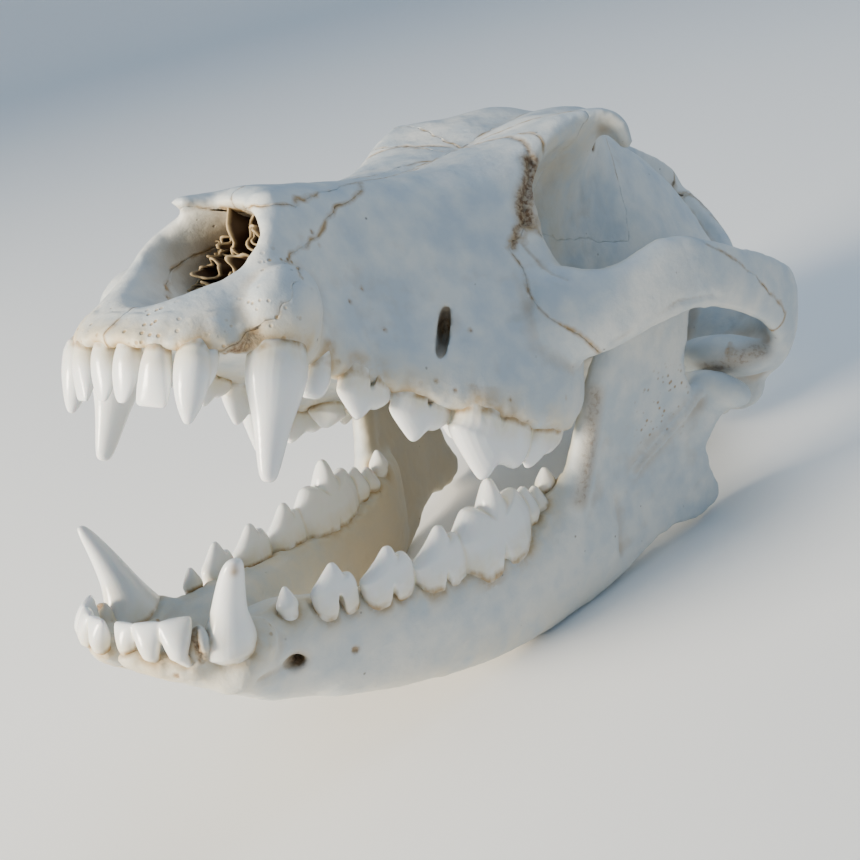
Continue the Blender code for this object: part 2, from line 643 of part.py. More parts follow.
# The sutures along which the cranium is parted. A bone's block is what lies on the kept side of
# each of its planes, given as a point and the direction that is kept, in millimetres.
BLOCK_REACH = 300.0
OCCIPITAL_PLANES = (((0.0, 199.0, 70.0), (0.0, 1.0, -0.23)),)
JUGAL_PLANES = (
    ((31.0, 82.5, 28.0), (12.0, 9.0, 16.0)),
    ((30.5, 90.0, 30.0), (1.0, -0.3, 0.0)),
    ((58.0, 123.0, 34.2), (0.0, -0.286, -1.0)),
    ((60.0, 146.5, 28.0), (0.0, -1.0, 0.0)),
)
NASAL_PLANES = (
    ((0.0, 52.0, 31.5), (0.0, -0.14, 1.0)),
    ((11.4, 40.0, 33.0), (-1.0, -0.2, 0.0)),
    ((-11.4, 40.0, 33.0), (1.0, -0.2, 0.0)),
    ((0.0, 90.0, 52.0), (0.0, -1.0, 0.2)),
)
INCISIVE_PLANES = (((0.0, 20.7, 4.0), (0.0, -32.0, 34.0)),)
FRONTAL_PLANES = (
    ((10.0, 98.0, 57.0), (0.27, 1.0, 0.1)),
    ((-10.0, 98.0, 57.0), (-0.27, 1.0, 0.1)),
    ((0.0, 100.0, 37.0), (0.0, -0.15, 1.0)),
    ((0.0, 137.0, 70.0), (0.0, -1.0, -0.2)),
)
MAXILLA_PLANES = (((0.0, 107.5, 0.0), (0.0, -1.0, -0.2)),)
LEFT_HALF = (((0.0, 0.0, 0.0), (1.0, 0.0, 0.0)),)


def on_right(planes):
    return tuple(((-p[0], *p[1:]), (-k[0], *k[1:])) for p, k in planes)


def block(name, planes, inset, group):
    """A solid with flat sides, each set in from its plane by this many millimetres."""
    bm = bmesh.new()
    bmesh.ops.create_cube(bm, size=2 * BLOCK_REACH * MM)
    for point, keep in planes:
        towards = Vector(keep).normalized()
        place = (Vector(point) + towards * inset) * MM
        everything = bm.verts[:] + bm.edges[:] + bm.faces[:]
        cut = bmesh.ops.bisect_plane(bm, geom=everything, plane_co=place, plane_no=towards,
                                     clear_inner=True)
        rim = [g for g in cut["geom_cut"] if isinstance(g, bmesh.types.BMEdge)]
        bmesh.ops.contextual_create(bm, geom=rim)
    bmesh.ops.recalc_face_normals(bm, faces=bm.faces)
    mesh = bpy.data.meshes.new(name)
    bm.to_mesh(mesh)
    bm.free()
    return add_object(name, mesh, group)


def split_off(whole, name, planes, group):
    """Takes one bone off the whole, leaving a thin gap between them."""
    bone = add_object(name, whole.data.copy(), group)
    cut_by(bone, block("kept", planes, CUT_GAP / 2, group), "INTERSECT")
    cut_by(whole, block("removed", planes, -CUT_GAP / 2, group))
    for done in ("kept", "removed"):
        bpy.data.objects.remove(bpy.data.objects[done])
    return largest_body(bone)


def split_pair(whole, name, planes, group):
    """Takes off a bone that meets its twin on the midline, and parts the two."""
    both = split_off(whole, name, planes, group)
    left = split_off(both, name + "_left", LEFT_HALF, group)
    both.name = name + "_right"
    return left, largest_body(both)


def part_cranium(whole, group):
    """Divides the cranium along its sutures, from the bones on the outside inwards."""
    bones = {"occipital_bone": split_off(whole, "occipital_bone", OCCIPITAL_PLANES, group)}
    for side, planes in (("left", JUGAL_PLANES), ("right", on_right(JUGAL_PLANES))):
        bones["cheekbone_" + side] = split_off(whole, "cheekbone_" + side, planes, group)
    for name, planes in (("nasal_bone", NASAL_PLANES), ("incisive_bone", INCISIVE_PLANES),
                         ("frontal_bone", FRONTAL_PLANES), ("maxilla", MAXILLA_PLANES)):
        left, right = split_pair(whole, name, planes, group)
        bones[name + "_left"], bones[name + "_right"] = left, right
    whole.name = "braincase"
    bones["braincase"] = largest_body(whole)
    return bones


def frame_empty(name, pivot, angle, place, parent, group):
    """An empty that carries one of the two working frames to its place."""
    empty = add_object(name, None, group)
    empty.parent = parent
    empty.matrix_basis = (Matrix.Translation(Vector((0, *place)) * MM)
                          @ Matrix.Rotation(-angle, 4, "X")
                          @ Matrix.Translation(Vector((0, -pivot[0], -pivot[1])) * MM))
    return empty


def bone_material(name, colour, roughness):
    made = bpy.data.materials.new(name)
    made.use_nodes = True
    shader = made.node_tree.nodes["Principled BSDF"]
    shader.inputs["Base Color"].default_value = (*colour, 1)
    shader.inputs["Roughness"].default_value = roughness
    shader.inputs["Metallic"].default_value = 0.0
    return made


clear_scene()
skull = collection("dog_skull")
workshop = collection("working_forms")
workshop.hide_render = True

cranium = part_cranium(cranium_surface(workshop), workshop)
jaw_left = jaw_surface(workshop)
floor_side = ((0.0, *JAW_REST), (0.0, -math.sin(JAW_TILT), math.cos(JAW_TILT)))
cut_by(jaw_left, block("above_floor", (floor_side,), 0.0, workshop), "INTERSECT")
cut_by(jaw_left, block("left_side", LEFT_HALF, CUT_GAP / 2, workshop), "INTERSECT")
for done in ("above_floor", "left_side"):
    bpy.data.objects.remove(bpy.data.objects[done])

upper_front = [row for row in UPPER_TEETH if row[0].startswith("incisor")]
upper_rear = [row for row in UPPER_TEETH if not row[0].startswith("incisor")]
jaw_left.name = "mandible_left"
jaw_right = mirrored([jaw_left])[1]
jaw_right.name = "mandible_right"
press(jaw_right, (-9, 0, 3), (7, 7, 6), (0, -1.6, 0.8))
for side, word, jaw, lower in ((1, "left", jaw_left, LOWER_TEETH),
                               (-1, "right", jaw_right, lower_teeth_right())):
    set_teeth(cranium["incisive_bone_" + word], teeth(upper_front, -1, side, workshop), "front")
    set_teeth(cranium["maxilla_" + word], teeth(upper_rear, -1, side, workshop), "rear")
    set_teeth(jaw, teeth(lower, 1, side, workshop), "lower")

jaw_frame = frame_empty("jaw_frame", JAW_REST, JAW_TILT, (90.0 + FLOOR_SHIFT, 0.0), None, skull)
cranium_frame = frame_empty("cranium_frame", HINGE_ON_CRANIUM, GAPE, HINGE_ON_JAW, jaw_frame, skull)

COLOURS = {
    "incisive_bone": (0.74, 0.69, 0.60), "nasal_bone": (0.72, 0.68, 0.60),
    "maxilla": (0.76, 0.72, 0.64), "frontal_bone": (0.73, 0.70, 0.64),
    "cheekbone": (0.74, 0.71, 0.65), "braincase": (0.71, 0.68, 0.62),
    "occipital_bone": (0.70, 0.66, 0.59), "mandible": (0.75, 0.71, 0.63),
}
for bone in [*cranium.values(), jaw_left, jaw_right]:
    for owner in bone.users_collection:
        owner.objects.unlink(bone)
    skull.objects.link(bone)
    bone.parent = jaw_frame if bone.name.startswith("mandible") else cranium_frame
    kind = next(k for k in COLOURS if bone.name.startswith(k))
    bone.data.materials.clear()
    bone.data.materials.append(bone_material(bone.name, COLOURS[kind], 0.6))
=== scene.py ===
import math

import bmesh
import bpy
import numpy as np
from mathutils import Matrix, Vector
from mathutils.kdtree import KDTree


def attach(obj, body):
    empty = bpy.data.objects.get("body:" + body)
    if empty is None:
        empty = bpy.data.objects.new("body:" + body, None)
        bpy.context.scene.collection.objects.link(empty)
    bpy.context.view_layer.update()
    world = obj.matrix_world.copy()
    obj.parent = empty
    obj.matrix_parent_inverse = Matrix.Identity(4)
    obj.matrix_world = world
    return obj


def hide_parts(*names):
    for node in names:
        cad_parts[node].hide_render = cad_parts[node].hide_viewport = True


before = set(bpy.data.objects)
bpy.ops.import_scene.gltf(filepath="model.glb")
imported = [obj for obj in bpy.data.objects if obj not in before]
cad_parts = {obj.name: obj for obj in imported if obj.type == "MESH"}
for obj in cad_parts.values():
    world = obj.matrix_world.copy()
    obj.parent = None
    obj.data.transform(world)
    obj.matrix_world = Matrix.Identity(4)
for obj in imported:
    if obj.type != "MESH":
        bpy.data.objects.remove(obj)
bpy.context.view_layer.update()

# The viewpoint: a hand-held close look at the animal's left side from just above the muzzle.
# It is the photograph's own angle, distance and tilt, with a lens of 52 mm on a 36 mm sensor.
MM = 0.001
FLOOR_SHIFT = -115.5
EYE = (171.28, -95.47 + FLOOR_SHIFT, 154.36)
LOOKING = (-0.610095, 0.686838, -0.395016)
CAMERA_ROLL = -14.42

lens = bpy.data.cameras.new("camera")
lens.sensor_width = 36
lens.lens = 52.48
lens.clip_start = 0.005
camera = bpy.data.objects.new("camera", lens)
bpy.context.scene.collection.objects.link(camera)
ahead = Vector(LOOKING).normalized()
level = ahead.cross(Vector((0, 0, 1))).normalized()
turned = Matrix.Rotation(math.radians(-CAMERA_ROLL), 3, ahead)
right = turned @ level
above = turned @ level.cross(ahead)
camera.matrix_world = Matrix((
    (right.x, above.x, -ahead.x, EYE[0] * MM),
    (right.y, above.y, -ahead.y, EYE[1] * MM),
    (right.z, above.z, -ahead.z, EYE[2] * MM),
    (0, 0, 0, 1),
))
bpy.context.scene.camera = camera

# The table top: a plain pale sheet that the lower jaw rests on and that curves up far behind.
# A cool broad light fills the shade, and a warmer soft box stands in front of the muzzle.
SHEET_SIZE = 9.0
SHEET_FLAT = 1.8
SHEET_CURVE = 0.35
bpy.ops.object.select_all(action="DESELECT")
bpy.ops.mesh.primitive_grid_add(x_subdivisions=60, y_subdivisions=60, size=SHEET_SIZE,
                                location=(0, 0, -0.0002))
table_top = bpy.context.object
table_top.name = "table_top"
for corner in table_top.data.vertices:
    corner.co.z = SHEET_CURVE * max(0.0, corner.co.xy.length - SHEET_FLAT) ** 2
bpy.ops.object.shade_smooth()
paper = bpy.data.materials.new("paper")
paper.use_nodes = True
paper.node_tree.nodes["Principled BSDF"].inputs["Base Color"].default_value = (0.94, 0.92, 0.88, 1)
paper.node_tree.nodes["Principled BSDF"].inputs["Roughness"].default_value = 0.9
table_top.data.materials.append(paper)

room = bpy.data.worlds.new("room")
bpy.context.scene.world = room
room.use_nodes = True
room.node_tree.nodes["Background"].inputs["Color"].default_value = (0.40, 0.65, 1.0, 1)
room.node_tree.nodes["Background"].inputs["Strength"].default_value = 0.49


def soft_light(name, place, aim, size, power, colour):
    """A square soft box that faces the skull."""
    box = bpy.data.lights.new(name, "AREA")
    box.shape = "SQUARE"
    box.size = size
    box.energy = power
    box.color = colour
    lamp = bpy.data.objects.new(name, box)
    bpy.context.scene.collection.objects.link(lamp)
    lamp.location = place
    lamp.rotation_mode = "QUATERNION"
    lamp.rotation_quaternion = (Vector(aim) - Vector(place)).to_track_quat("-Z", "Y")


soft_light("front_light", (-0.42, -1.10, 0.36), (0, -0.05, 0.05), 0.35, 44, (1.0, 0.90, 0.73))
soft_light("top_light", (0.15, 0.45, 1.1), (0, 0, 0.06), 0.8, 4, (0.90, 0.95, 1.0))

# The cranium: fused bones of the face and braincase, with the unseen brain cavity left filled.
# It is built up from solid forms in the skull's own frame (+Y back from the front teeth, +Z up
# from the sockets, millimetres), skinned as one, cut open and then parted along its sutures.
JAW_TILT = math.radians(10.2)
GAPE = math.radians(20.95)
HINGE_ON_CRANIUM = (164, 11)
HINGE_ON_JAW = (156.8, 9.3)
JAW_REST = (90, -28.2)
ROUGH_VOXEL = 1.25
FINE_VOXEL = 0.62
RING_POINTS = 40
working = bpy.data.collections.new("working_forms")
bpy.context.scene.collection.children.link(working)


def frame_matrix(pivot, angle, place):
    return (Matrix.Translation(Vector((0, *place)) * MM)
            @ Matrix.Rotation(-angle, 4, "X")
            @ Matrix.Translation(Vector((0, -pivot[0], -pivot[1])) * MM))


JAW_PLACE = frame_matrix(JAW_REST, JAW_TILT, (90.0 + FLOOR_SHIFT, 0.0))
CRANIUM_PLACE = JAW_PLACE @ frame_matrix(HINGE_ON_CRANIUM, GAPE, HINGE_ON_JAW)


def add_object(name, mesh):
    obj = bpy.data.objects.new(name, mesh)
    working.objects.link(obj)
    return obj


def remove(obj):
    mesh = obj.data
    bpy.data.objects.remove(obj)
    if mesh.users == 0:
        bpy.data.meshes.remove(mesh)


def spline(points, steps, closed=False):
    """Points on a smooth curve through the given ones, steps to each stretch."""
    count = len(points)
    dims = range(len(points[0]))
    stretches = count if closed else count - 1
    found = []
    for i in range(stretches):
        if closed:
            a, b, c, d = (points[(i + k) % count] for k in (-1, 0, 1, 2))
        else:
            b, c = points[i], points[i + 1]
            a = points[i - 1] if i else [2 * b[k] - c[k] for k in dims]
            d = points[i + 2] if i + 2 < count else [2 * c[k] - b[k] for k in dims]
        for s in range(steps):
            t = s / steps
            found.append([
                0.5 * (2 * b[k] + (c[k] - a[k]) * t
                       + (2 * a[k] - 5 * b[k] + 4 * c[k] - d[k]) * t * t
                       + (3 * b[k] - a[k] - 3 * c[k] + d[k]) * t ** 3)
                for k in dims
            ])
    if not closed:
        found.append(list(points[-1]))
    return found


def made_of(name, bm):
    """A new object from a finished bmesh."""
    mesh = bpy.data.meshes.new(name)
    bm.to_mesh(mesh)
    bm.free()
    return add_object(name, mesh)


def loft(name, rings):
    """A closed skin over rings of points in millimetres, with a fan on each end."""
    bm = bmesh.new()
    rows = [[bm.verts.new(Vector(p) * MM) for p in ring] for ring in rings]
    count = len(rings[0])
    for first, second in zip(rows, rows[1:]):
        for i in range(count):
            j = (i + 1) % count
            bm.faces.new((first[i], first[j], second[j], second[i]))
    for row in (rows[0], rows[-1]):
        centre = bm.verts.new(sum((v.co for v in row), Vector()) / count)
        for i in range(count):
            bm.faces.new((row[i], row[(i + 1) % count], centre))
    bmesh.ops.recalc_face_normals(bm, faces=bm.faces)
    return made_of(name, bm)


def tube(name, nodes, sides=14, steps=4):
    """A bar along nodes of (x, y, z, half height, half thickness), upright in its section."""
    path = spline(nodes, steps)
    rings = []
    for i, node in enumerate(path):
        before, after = path[max(i - 1, 0)], path[min(i + 1, len(path) - 1)]
        along = Vector(after[:3]) - Vector(before[:3])
        across = along.cross(Vector((0, 0, 1))).normalized()
        up = across.cross(along).normalized()
        rings.append([
            Vector(node[:3])
            + up * node[3] * math.cos(2 * math.pi * k / sides)
            + across * node[4] * math.sin(2 * math.pi * k / sides)
            for k in range(sides)
        ])
    return loft(name, rings)


def ball(name, centre, radii, turn=(0, 0, 0)):
    """An egg-shaped solid, turned by degrees about X, Y and Z."""
    bpy.ops.object.select_all(action="DESELECT")
    bpy.ops.mesh.primitive_ico_sphere_add(subdivisions=4, radius=1)
    egg = bpy.context.object
    egg.name = name
    place = Matrix.Translation(Vector(centre) * MM)
    for axis, angle in zip("ZYX", reversed(turn)):
        place = place @ Matrix.Rotation(math.radians(angle), 4, axis)
    egg.data.transform(place @ Matrix.Diagonal((*[r * MM for r in radii], 1)))
    bpy.context.scene.collection.objects.unlink(egg)
    working.objects.link(egg)
    return egg


def apply_modifiers(obj):
    bpy.context.view_layer.objects.active = obj
    for modifier in list(obj.modifiers):
        bpy.ops.object.modifier_apply(modifier=modifier.name)
    return obj


def mirrored(pieces):
    """Each piece again on the animal's right side."""
    twins = []
    for piece in pieces:
        mesh = piece.data.copy()
        mesh.transform(Matrix.Diagonal((-1, 1, 1, 1)))
        mesh.flip_normals()
        twins.append(add_object(piece.name + "_r", mesh))
    return pieces + twins


def joined(name, pieces):
    """One object holding the faces of all the pieces, which are then removed."""
    bm = bmesh.new()
    for piece in pieces:
        bm.from_mesh(piece.data)
        remove(piece)
    return made_of(name, bm)


def cut_by(obj, cutters, operation="DIFFERENCE"):
    """Cuts a solid by each cutter in turn, and clears the cutter away."""
    for cutter in cutters:
        change = obj.modifiers.new("cut", "BOOLEAN")
        change.operation = operation
        change.solver = "MANIFOLD"
        change.object = cutter
        bpy.context.view_layer.update()
        apply_modifiers(obj)
        remove(cutter)


def skinned(obj, voxel, smoothing, factor=0.5):
    """Overlapping solids grown together into one skin and eased where they meet."""
    skin = obj.modifiers.new("skin", "REMESH")
    skin.mode = "VOXEL"
    skin.voxel_size = voxel * MM
    ease = obj.modifiers.new("ease", "SMOOTH")
    ease.factor = factor
    ease.iterations = smoothing
    return apply_modifiers(obj)


def refined(obj):
    """Each face divided once, on the smooth surface through the coarse one."""
    finer = obj.modifiers.new("finer", "SUBSURF")
    finer.levels = finer.render_levels = 1
    return apply_modifiers(obj)


def points_of(obj):
    """The vertices' places in millimetres, and their normals."""
    count = len(obj.data.vertices)
    places, normals = np.empty(count * 3), np.empty(count * 3)
    obj.data.vertices.foreach_get("co", places)
    obj.data.vertex_normals.foreach_get("vector", normals)
    return places.reshape(-1, 3) / MM, normals.reshape(-1, 3)


def set_points(obj, places):
    obj.data.vertices.foreach_set("co", (places * MM).ravel())
    obj.data.update()


def press(obj, centre, spread, move, facing=None):
    """Moves the surface near a point, as a thumb does in clay, all in millimetres."""
    places, normals = points_of(obj)
    reach = (((places - centre) / spread) ** 2).sum(axis=1)
    share = np.where(reach < 6, np.exp(-1.4 * reach), 0.0)
    if facing is not None:
        share *= np.maximum(0.0, normals @ np.array(facing))
    set_points(obj, places + share[:, None] * np.array(move))


def press_pair(obj, centre, spread, move):
    """The same press on both sides of the head."""
    for side in (1, -1):
        press(obj, np.multiply(centre, (side, 1, 1)), spread, np.multiply(move, (side, 1, 1)))


def nearest(places, path):
    """Distance in millimetres from every point to a line through the given ones."""
    best = np.full(len(places), 1e9)
    for a, b in zip(path, path[1:]):
        a, along = np.array(a, float), np.array(b, float) - np.array(a, float)
        share = np.clip((places - a) @ along / max(along @ along, 1e-9), 0.0, 1.0)
        gap = places - (a + share[:, None] * along)
        best = np.minimum(best, np.sqrt((gap ** 2).sum(axis=1)))
    return best


GRAIN = (((0.8, 0.3, 0.5), 0.30), ((-0.5, 0.9, 0.2), 0.26), ((0.1, -0.6, 0.9), 0.24),
         ((1.3, 0.9, -0.7), 0.20), ((-1.1, 0.4, 1.5), 0.18))


def grain(places, size):
    """An uneven pattern between -1 and 1, with lumps of this many millimetres."""
    value = np.zeros(len(places))
    for k, (turn, share) in enumerate(GRAIN):
        phase = places @ np.array(turn) * (2 * math.pi / size)
        drift = np.sin(places @ np.roll(turn, 1) * (3.7 / size) + k)
        value += share * np.sin(phase + 2.1 * drift + 1.7 * k)
    return value


def both_sides(path):
    return [path, [(-x, y, z) for x, y, z in path]]


def carve(obj, paths, reach, depth, uneven=0.0):
    """A groove along each line of points, or a ridge if the depth is negative."""
    places, normals = points_of(obj)
    for path in paths:
        share = np.exp(-2.0 * (nearest(places, path) / reach) ** 2)
        roughness = 1.0 + uneven * grain(places, 1.9)
        places = places - normals * (share * depth * roughness)[:, None]
    set_points(obj, places)


# Each station: distance back, top on the midline, shoulder x and z, cheek x and z, gum x and z,
# and the height of the palate or skull base on the midline.
MUZZLE_STATIONS = (
    (8, 2.5, 3, 2, 6, 1.2, 6, 0.2, 0.5),
    (10, 4.5, 6, 4, 10.2, 2.5, 10.6, 0, 0.8),
    (14, 9, 9.5, 8.2, 14.6, 5, 16.4, 0.5, 2),
    (19, 13, 11.8, 11.8, 16.8, 7.5, 18.5, 1.2, 3),
    (24, 17.5, 13.4, 15.5, 17.6, 9.5, 21.5, 1.5, 3.5),
    (27.5, 23, 14, 20.5, 18, 12.5, 22.6, 2, 4),
    (31, 29, 12.6, 26.5, 17.8, 14.5, 22.2, 2, 4.5),
    (34.5, 33.4, 11, 30, 17.4, 15.5, 21.2, 1.8, 4.7),
    (40, 35, 10.5, 32, 17, 17, 20, 0.8, 5),
    (50, 37.5, 11.5, 34.5, 18, 18, 21.8, -0.6, 5),
    (60, 40.2, 13, 37, 21, 18, 25.5, -1.8, 5),
    (70, 43.2, 16, 40, 25.5, 18, 30.5, -3.6, 5),
    (80, 47, 19.5, 44.5, 30, 20, 34.5, -5, 4.5),
    (90, 52.5, 22.5, 50.5, 34.5, 23, 36.5, -5.2, 4),
    (99, 57.5, 24, 54.5, 35, 24, 35.5, -4.6, 4),
    (107, 60, 20, 55, 29, 26, 31, -2.5, 5),
)
BRAINCASE_STATIONS = (
    (70, 40, 8, 37, 9, 32, 8, 26, 24),
    (82, 46.5, 16, 45, 18, 36, 14, 24, 18),
    (92, 53.5, 22, 53.5, 21.5, 40, 16, 24, 12),
    (100, 58, 25, 60.5, 21, 44, 15.5, 22, 9),
    (108, 65, 26, 65.6, 20, 48, 15, 20, 8),
    (116, 69.5, 26, 67.4, 18.5, 50, 14.5, 20, 8),
    (124, 73, 19.5, 69.6, 17.5, 50, 14.5, 20, 8.5),
    (132, 74.5, 15.5, 72, 18, 50, 15.5, 21, 9),
    (142, 74.5, 12.5, 69.5, 21, 48, 18.5, 21, 10),
    (155, 73, 16, 66.5, 26, 44, 23.5, 20, 11),
    (170, 72, 18, 62.5, 29.5, 41, 26.5, 19, 11),
    (184, 70, 18, 56.5, 29.5, 39, 26.5, 20, 12),
    (195, 68.5, 15, 52, 25.5, 37, 22.5, 22, 16),
    (202, 64, 9, 48, 17, 37, 15, 27, 21),
)
ARCH_PATH = (
    (32, 88, 17, 10, 6),
    (40, 94.5, 19.5, 9.5, 5),
    (46.5, 101, 24, 8.2, 3.8),
    (51, 107.5, 29, 8.8, 3.2),
    (54.5, 116, 31, 7.6, 3),
    (57, 127, 31.6, 7.2, 3),
    (58, 139, 31.8, 7.8, 3),
    (57.6, 150.2, 30.6, 9, 3.2),
    (54.2, 158.8, 27.6, 10.4, 4),
    (47.2, 165, 24.8, 10.8, 5.2),
    (38, 167.5, 24, 11, 7),
    (27, 170, 24, 12, 7),
)
BROW_PATH = (
    (20, 104, 60.8, 2.6, 6),
    (24.4, 110.6, 64.8, 2.4, 5.4),
    (27.4, 114.8, 65.8, 2, 5.2),
    (29.6, 118, 63.6, 1.5, 4.4),
    (30.8, 120.6, 60.2, 1, 2.8),
)
NASAL_TIPS = (
    ((8.4, 31.5, 30.4, 1, 2.6), (7.2, 38, 32.2, 1.4, 3.4), (6.5, 48, 34.4, 1.6, 4.4)),
    ((-8.2, 26.5, 28.8, 1, 2.6), (-7.4, 34, 31.2, 1.4, 3.4), (-6.5, 46, 34, 1.6, 4.4)),
)
NECK_RIDGE = (
    (0, 203, 70, 4, 2.6),
    (7.5, 199.8, 65, 3.6, 2.6),
    (15, 197.2, 58, 4, 2.6),
    (22.5, 193.8, 49, 4.4, 2.6),
    (28.5, 189.6, 38, 5, 3),
    (30.5, 186.5, 27, 5.2, 3.4),
    (28.5, 186, 18, 4, 4),
)
CREST_OUTLINE = (
    (134, 62), (136, 73.5), (150, 75.6), (168, 76.6), (186, 77.4), (198, 77),
    (205.5, 72.6), (205, 64), (198, 56), (170, 52), (148, 56),
)
CREST_HALF_WIDTH = 1.5


def head_loft(name, stations):
    """One closed form whose sections pass through top, shoulder, cheek, gum and base."""
    rings = []
    for y, top, sx, sz, cx, cz, gx, gz, base in spline(stations, 3):
        half = [(0.0, top), (sx, sz), (cx, cz), (gx, gz), (0.0, base)]
        other = [(-x, z) for x, z in reversed(half[1:-1])]
        section = spline(half + other, RING_POINTS // 8, closed=True)
        rings.append([(x, y, z) for x, z in section])
    return loft(name, rings)


def outline_plate(name, outline, half_width, steps=3):
    """A plate across X from an outline of (y, z) seen from the side."""
    edge = spline(outline, steps, closed=True)
    return loft(name, [[(side * half_width, y, z) for y, z in edge] for side in (-1, 1)])


def orbit_cutters():
    return mirrored([ball("orbit", (39.0, 106.5, 44.0), (23.0, 16.5, 20.5), turn=(-37, 0, 0))])


NOSE_MOUTH = (
    (0, 4, 22, 15, 9),
    (0, 14, 20.6, 13, 11),
    (0, 22, 19.8, 11.4, 12.2),
    (0, 30, 19.8, 9.8, 12),
    (0, 40, 19.5, 9, 10.4),
    (0, 52, 19, 7.5, 8.4),
)


def cranium_forms():
    """The solids that grow together into the cranium, without its teeth."""
    middle = [
        head_loft("muzzle_form", MUZZLE_STATIONS),
        head_loft("braincase_form", BRAINCASE_STATIONS),
    ]
    for form in middle:
        cut_by(form, orbit_cutters() + [tube("nose", NOSE_MOUTH, sides=20)])
    middle.append(outline_plate("crest_form", CREST_OUTLINE, CREST_HALF_WIDTH))
    middle += [tube("nasal_tip", path, sides=12) for path in NASAL_TIPS]
    sides = mirrored([
        tube("arch_form", ARCH_PATH),
        tube("brow_form", BROW_PATH, sides=10),
        tube("neck_ridge_form", NECK_RIDGE, sides=10),
        ball("joint_shelf", (44.0, 154.0, 18.0), (13.0, 8.5, 5.0)),
        ball("joint_stop", (42.0, 162.5, 12.0), (9.0, 3.2, 7.0)),
        ball("ear_capsule", (17.0, 174.0, 10.0), (10.0, 13.5, 9.5)),
        ball("neck_knob", (12.0, 197.5, 23.5), (7.0, 7.5, 9.5), turn=(0, -25, 0)),
        tube("neck_spur", ((26.0, 187.0, 24.0, 4.0, 6.0), (26.5, 190.0, 13.0, 3.0, 5.0),
                           (26.0, 191.5, 6.0, 2.0, 3.0)), sides=10),
        tube("throat_wing", ((10.5, 100.0, 7.0, 6.0, 2.2), (11.5, 114.0, 7.5, 8.0, 1.9),
                             (11.5, 126.0, 7.5, 8.0, 1.8), (11.0, 133.0, 6.0, 7.0, 1.8)),
             sides=12),
        ball("canine_swell", (19.6, 29.8, 8.8), (5.0, 8.2, 9.4), turn=(-12, 0, 0)),
        ball("wing_hook", (10.5, 133.5, 1.5), (1.8, 2.6, 3.6)),
    ])
    return middle + sides


def hole(name, mouth, inner, tall, wide):
    """A tapering hole in the bone from its mouth to a point inside."""
    mouth, inner = Vector(mouth), Vector(inner)
    out = mouth + (mouth - inner) * 0.8
    nodes = [(*out, tall, wide), (*mouth, tall, wide), (*inner, tall * 0.6, wide * 0.6)]
    return tube(name, nodes, sides=16)


def throat_cutters():
    """The nose passage's rear, the hole for the spine and the two ear passages."""
    passage = ((0.0, 96.0, 9.0, 4.5, 7.0), (0.0, 108.0, 5.5, 7.0, 9.0),
               (0.0, 122.0, 2.0, 8.0, 9.5), (0.0, 140.0, -3.0, 8.0, 9.5))
    spine = ((0.0, 184.0, 33.0, 6.0, 7.5), (0.0, 196.0, 33.0, 8.0, 10.2),
             (0.0, 212.0, 33.0, 9.0, 11.0))
    ears = mirrored([ball("ear", (33.0, 176.0, 17.0), (7.0, 3.6, 3.6))])
    return [tube("passage", passage), tube("spine", spine), *ears]


# Each hole: its mouth, a point inside, and its half height and half width.
NERVE_HOLES = (
    ((25.8, 66.4, 11.8), (22.3, 71.6, 12.8), 5.7, 1.3),
    ((20.5, 100, 27), (17, 96, 26), 3.2, 2.2),
    ((17.5, 124, 31), (12, 130, 31), 3, 2.2),
    ((16.5, 131, 24.5), (11, 137, 24), 3.4, 2.6),
    ((20.4, 123.2, 62), (17, 126, 62.5), 1, 1),
    ((11.5, 66, 4.6), (11.5, 71, 9), 1.2, 1.6),
    ((6, 17, 2), (6, 20, 6), 3.6, 1.8),
)


def nerve_holes():
    """The small openings that nerves and vessels leave by, alike on both sides."""
    return mirrored([hole(f"nerve_hole_{i}", *row) for i, row in enumerate(NERVE_HOLES)])


# The sockets, which give the teeth their places: name, middle of the foot, turn of the row in
# degrees, lean of the root, and for each cusp its place along and across, length, width, height
# and how far its tip leans along and across.
UPPER_TEETH = (
    ("incisor_1", (3.1, 10.8, 1.2), 88, 4, ((0, 0, 5.2, 4.6, 10, -0.6, 0),)),
    ("incisor_2", (9.3, 11.8, 1.2), 66, 4, ((0, 0, 5.6, 5, 10.2, -0.3, 0),)),
    ("incisor_3", (15, 14.8, 1.5), 30, 3.4, ((-0.3, 0, 6.2, 6, 12.8, 0, 0.6),
                                              (2.4, -0.2, 3.2, 4.2, 6.4, 0, 0.2))),
    ("canine", (20.6, 28.1, 4), 4, 4, ((0, 0, 12.8, 9, 23.6, -0.6, 1.4),)),
    ("premolar_1", (19.6, 39.6, 0.8), 2, 0.5, ((0, 0, 5.6, 4, 5.6, -1.6, 0.2),)),
    ("premolar_2", (20.6, 50.6, -0.4), 8, 0.5, ((-0.6, 0, 10.2, 4.6, 6.8, 0.3, 0.2),
                                               (3.8, 0, 5.8, 3.8, 3.6, 0.3, 0))),
    ("premolar_3", (24, 63.4, -2.2), 14, 0.5, ((-0.8, 0, 11.2, 5.4, 8, 0.9, 0.2),
                                                (4.6, 0, 6.4, 4.4, 4.4, 0.3, 0))),
    ("premolar_4", (30.6, 77.8, -4.4), 16, 0.5, ((-3, 0, 13.2, 7.8, 11.8, 2.4, 0),
                                                (5.2, 0.2, 10.4, 7, 8.4, 0.4, 0),
                                                (-5.5, -4.6, 5.6, 5.6, 4.4, 0, 0.4))),
    ("molar_1", (30.8, 92.8, -4.2), -8, 0, ((-2.6, 2.6, 8, 6.8, 8.8, 0.2, -0.6),
                                             (3.2, 2.2, 7, 6.2, 7, 0, -0.4),
                                             (0.2, -5.4, 9, 9, 4.6, 0, 0.4))),
    ("molar_2", (27.4, 102, -2.8), -12, 0, ((0, 1.4, 6.2, 5.2, 4.6, 0, 0),
                                               (0.2, -3, 5.4, 6, 3.2, 0, 0))),
)
